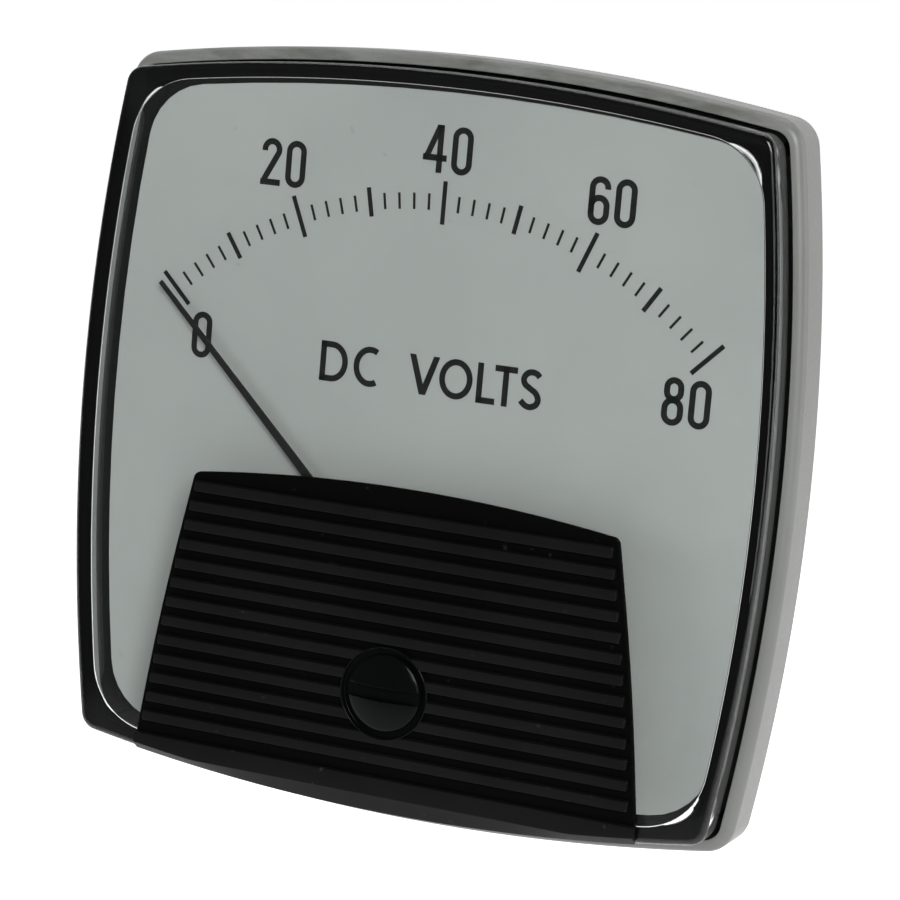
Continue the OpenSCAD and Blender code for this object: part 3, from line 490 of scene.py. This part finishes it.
def make_case():
    """Bezel, tray and barrel as one lathed and lofted skin, with two bosses for the movement."""
    tray = BEZEL_HALF - LIP_W
    like = bulged_square(BEZEL_HALF, CASE_CORNER)
    in_r = BARREL_R - BARREL_WALL
    inside = BARREL_BACK + BACK_T
    rings = [round_ring(AXLE_R, BARREL_BACK, like)]
    for a in np.linspace(0, math.pi / 2, 9):
        rings.append(round_ring(BARREL_R - BARREL_EDGE_R + BARREL_EDGE_R * math.sin(a),
                                BARREL_BACK + BARREL_EDGE_R - BARREL_EDGE_R * math.cos(a), like))
    rings += [round_ring(BARREL_R, -PANEL_STEP, like), round_ring(BARREL_R, 0, like)]
    rings += edge(BEZEL_HALF, CASE_CORNER, 0, CASE_FILLET, 2, up=False)[::-1]
    rings += edge(BEZEL_HALF, CASE_CORNER, BEZEL_D, BEZEL_EDGE_R, 8)
    rings += edge(tray, TRAY_CORNER, BEZEL_D, CASE_FILLET, 3, inward=False)[::-1]
    first_shaded = (len(rings) - 1) * len(like)
    rings += [square_ring(tray, TRAY_CORNER, FLOOR_H), round_ring(in_r, FLOOR_H, like),
              round_ring(in_r, inside, like), round_ring(AXLE_R, inside, like)]
    back_face = (len(rings) - 1) * len(like)
    shells = [loft(rings)]
    screws_low, screws_high = node_mm("movement_screws")
    boss_top = node_mm("support_frame")[0][2]
    boss_y = (screws_low[1] + screws_high[1]) / 2
    boss_x = screws_high[0] - (screws_high[1] - screws_low[1]) / 2
    profile = ((BOSS_BORE_R, inside), (BOSS_BORE_R, boss_top), (BOSS_R, boss_top),
               (BOSS_R, inside - BOSS_SINK))
    for x in (-boss_x, boss_x):
        shells.append(loft([round_ring(r, h, centre=(x, boss_y)) for r, h in profile], caps=False))
    obj = add_object("case_skin", *join(*shells), MATERIALS["case_grey"], "case_grey")
    # Faces from the tray wall inwards, all but the outer back face, get the near-black painted shade.
    obj.data.materials.append(TRAY_SHADE_BLACK)
    for face in obj.data.polygons:
        face.material_index = int(face.index >= first_shaded and face.index != back_face)
    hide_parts("case_base")


COVER_CORNER, INNER_CORNER, ROOT_CORNER = 2.2, 8.0, 2.5
COVER_EDGE_R, INNER_EDGE_R = 0.8, 0.15
ADJUSTER_HOLE_R, PEG_HOLE_R = 2.06, 1.02


def make_cover():
    """Clear cover as one closed solid: window, walls with rounded edges, holes under the mask.

    Its inner corners are wide at the window and narrow at the root, which gives them their glints.
    """
    rings = [square_ring(WINDOW_HALF * 0.02, 0.3, WINDOW_BACK)]
    rings += edge(WINDOW_HALF, INNER_CORNER, WINDOW_BACK, INNER_EDGE_R, 6)[::-1]
    top = WINDOW_BACK - INNER_EDGE_R
    for a in np.linspace(0, math.pi / 2, 5)[1:]:
        rings.append(square_ring(
            WINDOW_HALF, INNER_CORNER + (ROOT_CORNER - INNER_CORNER) * math.sin(a),
            top + (FLOOR_H - WINDOW_BACK + INNER_EDGE_R) * (1 - math.cos(a))))
    rings.append(square_ring(COVER_HALF, COVER_CORNER, FLOOR_H))
    rings += edge(COVER_HALF, COVER_CORNER, WINDOW_FRONT, COVER_EDGE_R, 6)
    through = (WINDOW_BACK - CUT_PAST, WINDOW_FRONT + CUT_PAST)
    holes = [drill(0, ADJUSTER_Y, ADJUSTER_HOLE_R, *through)]
    holes += [drill(x, PIVOT_Y, PEG_HOLE_R, *through) for x in (-PEG_X, PEG_X)]
    obj = add_object("cover_skin", *loft(rings), MATERIALS["clear_acrylic"], "clear_acrylic",
                     cuts=holes)
    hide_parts("clear_cover")


# ---- Mask and adjuster ----
MASK_TOP_R = 195.0
MASK_HALF_TOP = 26.6
MASK_HALF_FOOT = 31.6
MASK_BOW = 0.35
MASK_CORNER_R = 0.9
RIB_PITCH = 2.35
RIB_FIRST = 10.9
RIB_COUNT = 13
RIB_H = 0.6
RIB_HALF = 0.58
RIB_SLOPE = 0.12
RIB_END_GAP = 0.65
PLATE_H = RIB_TOP - RIB_H
PLATE_EDGE_R = 0.15
BAND = 2.1
BEVEL_Y = BULGE_R - COVER_HALF - math.sqrt(BULGE_R ** 2 - MASK_HALF_FOOT ** 2)
BEVEL_LEAST = 0.9
BEVEL_FOOT_H = WINDOW_FRONT + 0.06
BAND_TOP = BEVEL_Y + BAND
MASK_SHOULDER = MASK_TOP - MASK_TOP_R + math.sqrt(
    (MASK_TOP_R - MASK_CORNER_R) ** 2 - (MASK_HALF_TOP - MASK_CORNER_R) ** 2)
RECESS_R = 5.25
RECESS_LIP = 0.24
RECESS_FLOOR = WINDOW_FRONT + 0.35


def mask_side(y):
    """Half the mask's width at y: the sides spread and bow a little, and end straight."""
    share = min(max((MASK_SHOULDER - y) / (MASK_SHOULDER - BAND_TOP), 0), 1)
    bow = MASK_BOW * math.sin(math.pi * share)
    return MASK_HALF_TOP + (MASK_HALF_FOOT - MASK_HALF_TOP) * share + bow


def plate_outline(inset):
    """Outline of the ribbed plate: arched top, small round corners, spread sides, flat foot."""
    r = MASK_CORNER_R
    lean = math.atan((MASK_HALF_FOOT - MASK_HALF_TOP + math.pi * MASK_BOW)
                     / (MASK_SHOULDER - BAND_TOP))
    centre_y = MASK_TOP - MASK_TOP_R
    foot_y = BEVEL_Y + BAND / 2
    cx = MASK_HALF_TOP - inset - r
    cy = centre_y + math.sqrt((MASK_TOP_R - inset - r) ** 2 - cx * cx)
    stop = math.pi / 2 - math.asin(cx / MASK_TOP_R)
    bend = [(cx + r * math.cos(a), cy + r * math.sin(a)) for a in np.linspace(lean, stop, 8)]
    top = [(x, centre_y + math.sqrt((MASK_TOP_R - inset) ** 2 - x * x))
           for x in np.linspace(bend[-1][0], 0, 20)[1:]]
    foot = [(0, foot_y), (mask_side(BEVEL_Y) - inset, foot_y)]
    sides = [(mask_side(y) - inset, y)
             for y in np.linspace(BAND_TOP, MASK_SHOULDER, 12, endpoint=False)]
    right = foot + sides + bend + top
    left = [(-x, y) for x, y in reversed(right[1:-1])]
    return np.array(right + left)


def mask_plate():
    """Plate under the ribs, with a rounded front edge."""
    rings = [at_height(plate_outline(0), WINDOW_FRONT)]
    for a in np.linspace(0, math.pi / 2, 4):
        rings.append(at_height(plate_outline(PLATE_EDGE_R * (1 - math.cos(a))),
                               PLATE_H - PLATE_EDGE_R + PLATE_EDGE_R * math.sin(a)))
    return loft(rings)


def rib(half_x, y):
    """One rib lying along x, with softened edges and ends."""
    h0, half, r = PLATE_H - SINK, RIB_HALF, 0.1
    side = [(half + RIB_SLOPE, h0), (half, RIB_TOP - r), (half - r * 0.35, RIB_TOP - r * 0.3),
            (half - r, RIB_TOP)]
    section = side + [(-s, h) for s, h in reversed(side)]
    end = 0.4 * half
    stations = [(end * (1 + t) - half_x, max((1 - t ** 4) ** 0.5, 0.02))
                for t in np.sin(np.linspace(-math.pi / 2, 0, 7))]
    stations += [(-x, width) for x, width in reversed(stations)]
    return loft([np.array([(x, y + w * s, h0 + (h - h0) * min(1, w * 1.6)) for s, h in section])
                 for x, w in stations])


def foot_band():
    """Plain band at the foot with its bevel down to the cover's lower edge."""
    foot_r = BULGE_R - BEZEL_HALF + COVER_HALF
    rings = []
    for s in np.linspace(-1, 1, 61):
        x = s * MASK_HALF_FOOT
        foot_y = BULGE_R - BEZEL_HALF - math.sqrt(foot_r ** 2 - x ** 2)
        y = max(BEVEL_Y, foot_y + BEVEL_LEAST)
        rings.append(np.array([
            (x, BAND_TOP + HAIR, PLATE_H - SINK), (x, BAND_TOP, RIB_TOP - HAIR),
            (x, BAND_TOP - HAIR, RIB_TOP), (x, y + 0.06, RIB_TOP), (x, y - 0.03, RIB_TOP - 0.03),
            (x, foot_y, BEVEL_FOOT_H), (x, foot_y, WINDOW_FRONT),
            (x, BAND_TOP + HAIR, WINDOW_FRONT)]))
    return loft(rings)


def recess_ring():
    """Round wall of the counterbore with a soft lip, and its floor."""
    r_in, r_out, floor, soft = RECESS_R, RECESS_R + RECESS_LIP, RECESS_FLOOR, 0.08
    profile = [(0.0, floor), (r_in - HAIR, floor), (r_in, floor + HAIR), (r_in, RIB_TOP - soft),
               (r_in + soft, RIB_TOP), (r_out - HAIR, RIB_TOP), (r_out, RIB_TOP - HAIR),
               (r_out, WINDOW_FRONT + HAIR), (0.0, WINDOW_FRONT + HAIR)]
    return loft([round_ring(max(r, 0.02), h, centre=(0, ADJUSTER_Y)) for r, h in profile])


def make_mask():
    """Plate with ribs, the plain band at its foot and the round recess for the adjuster."""
    black = MATERIALS["mask_black"]
    recess = drill(0, ADJUSTER_Y, RECESS_R + HAIR, WINDOW_FRONT + 0.2, RIB_TOP + CUT_PAST, n=128)
    # The plate between the ribs takes the darker black: painted shade in the grooves.
    obj = add_object("mask_plate", *mask_plate(), GROOVE_SHADE_BLACK, "mask_black", sharp=50,
                     cuts=[recess])
    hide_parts("ribbed_mask")
    lines = [PIVOT_Y + RIB_FIRST - i * RIB_PITCH for i in range(RIB_COUNT)]
    ribs = [rib(mask_side(y) - RIB_END_GAP, y) for y in lines]
    add_object("mask_ribs", *join(*ribs), black, "mask_black", sharp=50, cuts=[recess])
    add_object("mask_foot", *foot_band(), black, "mask_black", sharp=50)
    add_object("mask_recess", *recess_ring(), MATERIALS["adjuster_black"], "mask_black", sharp=50)


HEAD_R = 4.5
HEAD_BASE = WINDOW_FRONT + 0.45
HEAD_RIM = HEAD_BASE + 0.55
HEAD_BEVEL = 0.09
SLOT_HALF = 0.78
SHAFT_R, SHAFT_PAST = 2.0, 1.1
PIN_R, PIN_OFFSET, PIN_START = 0.6, 1.3, 1.0


def make_adjuster():
    """Slotted domed head, with its shaft and eccentric pin."""
    r, top = HEAD_R, head_high[2]
    dome = top - HEAD_RIM
    ball = (r * r + dome * dome) / (2 * dome)
    profile = [(0.05, HEAD_BASE), (r - HAIR, HEAD_BASE), (r, HEAD_BASE + HAIR),
               (r, HEAD_RIM - 0.12), (r - 0.05, HEAD_RIM - 0.03), (r - 0.14, HEAD_RIM + 0.03)]
    for d in r * np.linspace(0.94, 0.0, 14):
        profile.append((max(d, 0.05), top - ball + math.sqrt(ball * ball - d * d)))
    rings = [round_ring(a, h, centre=(0, ADJUSTER_Y), n=128) for a, h in profile]
    x = r + CUT_PAST
    plan = np.array([(-x, ADJUSTER_Y - SLOT_HALF), (x, ADJUSTER_Y - SLOT_HALF),
                     (x, ADJUSTER_Y + SLOT_HALF), (-x, ADJUSTER_Y + SLOT_HALF)])
    slot = loft([at_height(plan, HEAD_RIM - HAIR), at_height(plan, top + CUT_PAST)])
    black = MATERIALS["adjuster_black"]
    obj = add_object("adjuster_head", *loft(rings), black, "adjuster_black", body="zero_screw",
                     sharp=40, cuts=[slot], bevel=HEAD_BEVEL)
    shaft = drill(0, ADJUSTER_Y, SHAFT_R, WINDOW_BACK - SHAFT_PAST, HEAD_BASE + SINK)
    pin = drill(0, ADJUSTER_Y + PIN_OFFSET, PIN_R, head_low[2], WINDOW_BACK - PIN_START)
    add_object("adjuster_shaft", *join(shaft, pin), black, "adjuster_black", body="zero_screw")
    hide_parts("zero_adjuster")


# ---- Threaded studs ----
MOUNT_R, MOUNT_PITCH, MOUNT_NECK_R, MOUNT_HEAD_R = 2.05, 0.8, 2.6, 3.5
TERMINAL_R, TERMINAL_PITCH, TERMINAL_FLATS, TERMINAL_HEAD_T = 3.16, 0.9, 10.0, 3


def thread(x, y, r, pitch, h_tip, h_root):
    """Single-start thread of outer radius r from a chamfered tip at h_tip up to h_root."""
    n, rings_per_turn, chamfer, depth = 32, 6, 0.5, 0.55 * pitch
    turn = np.arange(n) / n
    c, s = np.cos(turn * 2 * math.pi), np.sin(turn * 2 * math.pi)
    rings = []
    for h in np.linspace(h_tip, h_root, int((h_root - h_tip) / pitch * rings_per_turn) + 1):
        saw = np.abs(((h / pitch + turn) % 1.0) * 2 - 1)
        crest = np.clip(1.35 * saw - 0.15, 0, 1)
        radius = np.minimum(r - depth * (1 - crest), r - chamfer + min(chamfer, h - h_tip))
        rings.append(np.column_stack([x + radius * c, y + radius * s, np.full(n, h)]))
    return loft(rings)


def hex_head(x, y, flats, h0, h1):
    """Hexagonal head with its corners chamfered at both ends."""
    n, chamfer, tip, whole = 72, 0.07 * flats, 0.475, 0.6
    a = np.radians(np.arange(n) * 5.0)
    to_flat = 0.5 / np.cos((a + math.pi / 6) % (math.pi / 3) - math.pi / 6)
    rings = []
    for h, reach in ((h0, tip), (h0 + chamfer, whole), (h1 - chamfer, whole), (h1, tip)):
        radius = flats * np.minimum(to_flat, reach)
        rings.append(np.column_stack([x + radius * np.cos(a), y + radius * np.sin(a),
                                      np.full(n, h)]))
    return loft(rings)


def make_studs():
    """Mounting studs and terminal studs with their threads."""
    low, high = node_mm("mounting_studs")
    at = high[0] - MOUNT_HEAD_R
    shells = []
    for x in (-at, at):
        for y in (-at, at):
            shells += [thread(x, y, MOUNT_R, MOUNT_PITCH, low[2], 0.0),
                       drill(x, y, MOUNT_NECK_R, -TOUCH, FLOOR_H + SINK),
                       drill(x, y, MOUNT_HEAD_R, FLOOR_H + TOUCH, high[2])]
    obj = add_object("mounting_threads", *join(*shells), MATERIALS["zinc_steel"], "zinc_steel",
                     sharp=60)
    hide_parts("mounting_studs")
    low, high = node_mm("terminal_studs")
    at = high[0] - TERMINAL_FLATS / 2
    y = (low[1] + high[1]) / 2
    root = high[2] - TERMINAL_HEAD_T
    shells = []
    for x in (-at, at):
        shells += [thread(x, y, TERMINAL_R, TERMINAL_PITCH, low[2], root),
                   hex_head(x, y, TERMINAL_FLATS, root, high[2])]
    obj = add_object("terminal_threads", *join(*shells), MATERIALS["brass"], "brass", sharp=60)
    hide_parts("terminal_studs")


# ---- Dial printing ----
STROKE = 0.72
MARK_W, TICK_W = 0.54, 0.31
DIGIT_W, DIGIT_H, DIGIT_GAP, FOUR_W = 2.55, 5.45, 0.6, 2.92
CAP_H = 4.64
SCALE_R = 45.8
PRINT_LIFT = 0.02


def arc(cx, cy, rx, ry, a0, a1, steps=20):
    """Points of an elliptical arc between two bearings in degrees."""
    return [(cx + rx * math.cos(math.radians(a)), cy + ry * math.sin(math.radians(a)))
            for a in np.linspace(a0, a1, steps)]


def stadium(cx, y0, y1, r):
    """Closed stroke with round ends."""
    return stroke(arc(cx, y1 - r, r, r, 0, 180) + arc(cx, y0 + r, r, r, 180, 360), True)


def spline(points, steps=6):
    """Smooth line through points."""
    p = np.array([points[0]] + list(points) + [points[-1]], dtype=float)
    out = []
    for i in range(1, len(p) - 2):
        a, b, c, d = p[i - 1:i + 3]
        for t in np.linspace(0, 1, steps, endpoint=False):
            out.append(tuple(0.5 * (2 * b + t * (c - a) + t * t * (2 * a - 5 * b + 4 * c - d)
                                    + t ** 3 * (3 * b - a - 3 * c + d))))
    return out + [tuple(points[-1])]


def stroke(line, closed=False, width=STROKE):
    """Ribbon of constant width along a centre line, as (points, quads) in the plane."""
    p = np.array(line, dtype=float)
    if closed:
        ahead, behind = np.roll(p, -1, 0), np.roll(p, 1, 0)
    else:
        ahead = np.concatenate([p[1:], p[-1:]])
        behind = np.concatenate([p[:1], p[:-1]])
    d = ahead - behind
    d /= np.linalg.norm(d, axis=1)[:, None]
    side = np.stack([-d[:, 1], d[:, 0]], 1) * width / 2
    n = len(p)
    points = np.concatenate([p + side, p - side])
    count = n if closed else n - 1
    return points, [(i, (i + 1) % n, n + (i + 1) % n, n + i) for i in range(count)]


def digits():
    """Strokes of each digit, from its lower left corner."""
    w, h, e = DIGIT_W, DIGIT_H, STROKE / 2
    c, r = w / 2, (w - STROKE) / 2
    hook = arc(c, h - e - r, r, r, 180, 0)[1:]
    swan = arc(c, h - e - r - 0.03, r, r + 0.03, 178, -22)
    return {
        "0": [stadium(c, e, h - e, r)],
        "2": [stroke([(e, 3.95)] + swan + [(0.46, 0.62)]), stroke([(0, e), (w, e)])],
        "4": [stroke([(2.05, 0), (2.05, h - 0.02)]), stroke([(0, 1.7), (2.95, 1.7)]),
              stroke([(0.36, 1.5), (1.86, 5.25)], width=0.7),
              stroke([(1.5, h - 0.2), (2.3, h - 0.2)], width=0.4)],
        "6": [stadium(c, e, 3.03, r), stroke([(e, 1.3), (e, h - e - r)] + hook + [(w - e, 4.05)])],
        "8": [stadium(c, 2.98, h - e, 0.82), stadium(c, e, 2.86, 0.93)]}


def letters():
    """Strokes of each letter, from its lower left corner."""
    e, h, cap = STROKE / 2, CAP_H, 4.68
    vee = np.array([(0, 4.56), (0.78, 4.56), (1.9, 1.25), (3.02, 4.56), (3.8, 4.56), (2.3, 0),
                    (1.5, 0)])
    ess = [(2.33, 3.86), (1.98, 4.2), (1.4, 4.34), (0.8, 4.14), (0.43, 3.55), (0.62, 2.9),
           (1.3, 2.45), (1.98, 2.0), (2.32, 1.3), (2.08, 0.68), (1.42, 0.36), (0.78, 0.5),
           (0.2, 0.98)]
    return {
        "D": [stroke([(e, 0), (e, cap)]), stroke([(0, e), (1.5, e)]),
              stroke([(0, cap - e), (1.5, cap - e)]),
              stroke(arc(1.46, cap / 2, 3.52 - e - 1.46, cap / 2 - e, 90, -90, 28))],
        "C": [stroke(arc(2.06, cap / 2, 2.06 - e, cap / 2 - e, 60, 300, 36))],
        "V": [(vee, [tuple(range(len(vee)))])],
        "O": [stroke(arc(2.07, 2.32, 2.07 - e, 2.32 - e, 0, 360, 49)[:-1], True)],
        "L": [stroke([(e, 0), (e, h)]), stroke([(0, e), (2.34, e)])],
        "T": [stroke([(0, h - e), (2.76, h - e)]), stroke([(1.38, 0), (1.38, 4.5)])],
        "S": [stroke(spline(ess))]}


NUMBERS = (("0", -30.58, 25.2), ("20", -23.3, 46.38), ("40", -3.07, 50.05), ("60", 17.4, 46.36),
           ("80", 28.28, 25.2))
UNIT, UNIT_X, UNIT_Y = "DCVOLTS", (-13.76, -9.5, -2.56, 1.3, 5.96, 8.1, 11.24), 24.62
# Inner and outer end of a mark as shares of SCALE_R, and its width
TEN_MARK = (0.9667, 1.0746, MARK_W)
FIVE_MARK = (0.984, 1.0573, MARK_W)
ONE_MARK = (1.0, 1.0408, TICK_W)


def make_print():
    """Scale marks, numbers and unit, printed on the dial."""
    sign = {**digits(), **letters()}
    placed = []
    for text, x, y in NUMBERS:
        for c in text:
            placed.append((c, x, y))
            x += (FOUR_W if c == "4" else DIGIT_W) + DIGIT_GAP
    placed += [(c, x, UNIT_Y) for c, x in zip(UNIT, UNIT_X)]
    shapes = [(np.asarray(points) + (x, y), faces) for c, x, y in placed
              for points, faces in sign[c]]
    for k in range(41):
        a = math.radians(-45 + 90 * k / 40)
        r0, r1, width = TEN_MARK if k % 10 == 0 else FIVE_MARK if k % 5 == 0 else ONE_MARK
        way = np.array([math.sin(a), math.cos(a)])
        shapes.append(stroke([tuple(way * r0 * SCALE_R), tuple(way * r1 * SCALE_R)], width=width))
    flat = [(at_height(p + (0, PIVOT_Y), DIAL_H + PRINT_LIFT), f) for p, f in shapes]
    add_object("dial_print", *join(*flat), INK, "pointer_black")


# ---- Stage ----
CAMERA_LENS = 132.9
CAMERA_PLACE = (0.14645, -0.3539, 0.05756)
CAMERA_RIGHT = (0.9159, 0.3919, 0.087)
CAMERA_UP = (-0.1391, 0.1066, 0.9845)
FLOOR_SIDE, FLOOR_NEAR, FLOOR_Z = 6.0, -0.3, -0.11
FADED_OUT = -0.02
WHITE = (1, 1, 1, 1)
# Name, place, width, height, power, and whether it shows in gloss
LAMPS = (("key", (0.5, -0.8, 0.42), 0.5, 0.5, 8.2, True),
         ("top", (-0.1, 0.15, 0.9), 0.7, 0.7, 2.2, True),
         ("fill", (-0.75, -0.45, 0.08), 0.4, 0.4, 2.6, False),
         ("low", (0.6, -0.7, -0.02), 0.4, 0.4, 0.9, True),
         ("side", (0.8, 0.2, 0.15), 0.35, 0.7, 1.4, True))


def make_camera():
    """Camera at the reference viewpoint, aimed by its own axes."""
    data = bpy.data.cameras.new("camera")
    data.lens = CAMERA_LENS
    data.sensor_width = 36
    data.clip_start = 0.02
    data.clip_end = 20
    cam = bpy.data.objects.new("camera", data)
    scene.collection.objects.link(cam)
    right = Vector(CAMERA_RIGHT)
    back = right.cross(Vector(CAMERA_UP)).normalized()
    right.normalize()
    up = back.cross(right)
    turn = Matrix((right, up, back)).transposed().to_4x4()
    cam.matrix_world = Matrix.Translation(CAMERA_PLACE) @ turn
    scene.camera = cam


def make_lamps():
    """Soft boxes aimed at the meter, hidden from the camera and from rays through the cover."""
    for name, place, width, height, power, seen in LAMPS:
        data = bpy.data.lights.new(name, "AREA")
        data.shape = "RECTANGLE"
        data.size = width
        data.size_y = height
        data.energy = power
        obj = bpy.data.objects.new(name, data)
        scene.collection.objects.link(obj)
        obj.location = place
        obj.rotation_euler = (-Vector(place)).to_track_quat("-Z", "Y").to_euler()
        obj.visible_transmission = False
        obj.visible_camera = False
        obj.visible_glossy = seen


def make_world():
    """White to the camera, and to gloss and glass where it lies behind the meter; else dim."""
    world = bpy.data.worlds.new("studio")
    scene.world = world
    world.use_nodes = True
    w = Tree(world.node_tree)
    dim = w.tree.nodes["Background"]
    dim.inputs["Color"].default_value = (0.94, 0.97, 1.0, 1)
    dim.inputs["Strength"].default_value = 0.13
    white = w.add("ShaderNodeBackground")
    white.inputs["Color"].default_value = WHITE
    white.inputs["Strength"].default_value = 1.0
    behind = w.ramp(w.axis(w.add("ShaderNodeTexCoord").outputs["Generated"], "Y"), 0, 0.5, 0, 1)
    camera, shiny = w.rays()
    seen = w.math("MAXIMUM", camera, w.math("MULTIPLY", shiny, behind))
    shown = w.mix_shaders(seen, dim.outputs[0], white.outputs[0])
    w.link(shown, w.tree.nodes["World Output"].inputs["Surface"])


def make_floor():
    """Pale floor well under the meter, which hangs as in its panel.

    It glows to the camera, gloss and glass, and to these last two it fades away towards the front.
    """
    x, near, z = FLOOR_SIDE, FLOOR_NEAR, FLOOR_Z
    mesh = bpy.data.meshes.new("floor")
    mesh.from_pydata([(-x, near, z), (x, near, z), (x, x, z), (-x, x, z)], [], [(0, 1, 2, 3)])
    floor = bpy.data.objects.new("floor", mesh)
    scene.collection.objects.link(floor)
    n = Nodes("floor_white")
    n.set(Base_Color=(0.85, 0.85, 0.85, 1), Roughness=0.9)
    glow = n.add("ShaderNodeEmission")
    glow.inputs["Strength"].default_value = 0.9
    glowing = n.add("ShaderNodeAddShader")
    n.link(n.shader.outputs[0], glowing.inputs[0])
    n.link(glow.outputs[0], glowing.inputs[1])
    camera, shiny = n.rays()
    pale = n.mix_shaders(n.math("MAXIMUM", camera, shiny), n.shader.outputs[0], glowing.outputs[0])
    faded = n.math("MULTIPLY", shiny, n.ramp(n.axis(n.place, "Y"), near, FADED_OUT, 1, 0))
    shown = n.mix_shaders(faded, pale, n.add("ShaderNodeBsdfTransparent").outputs[0])
    n.link(shown, n.out.inputs["Surface"])
    mesh.materials.append(n.material)


make_camera()
make_world()
make_floor()
make_lamps()
dress_cad_nodes()
make_case()
make_cover()
make_mask()
make_adjuster()
make_studs()
make_print()
scene.view_settings.view_transform = "Standard"
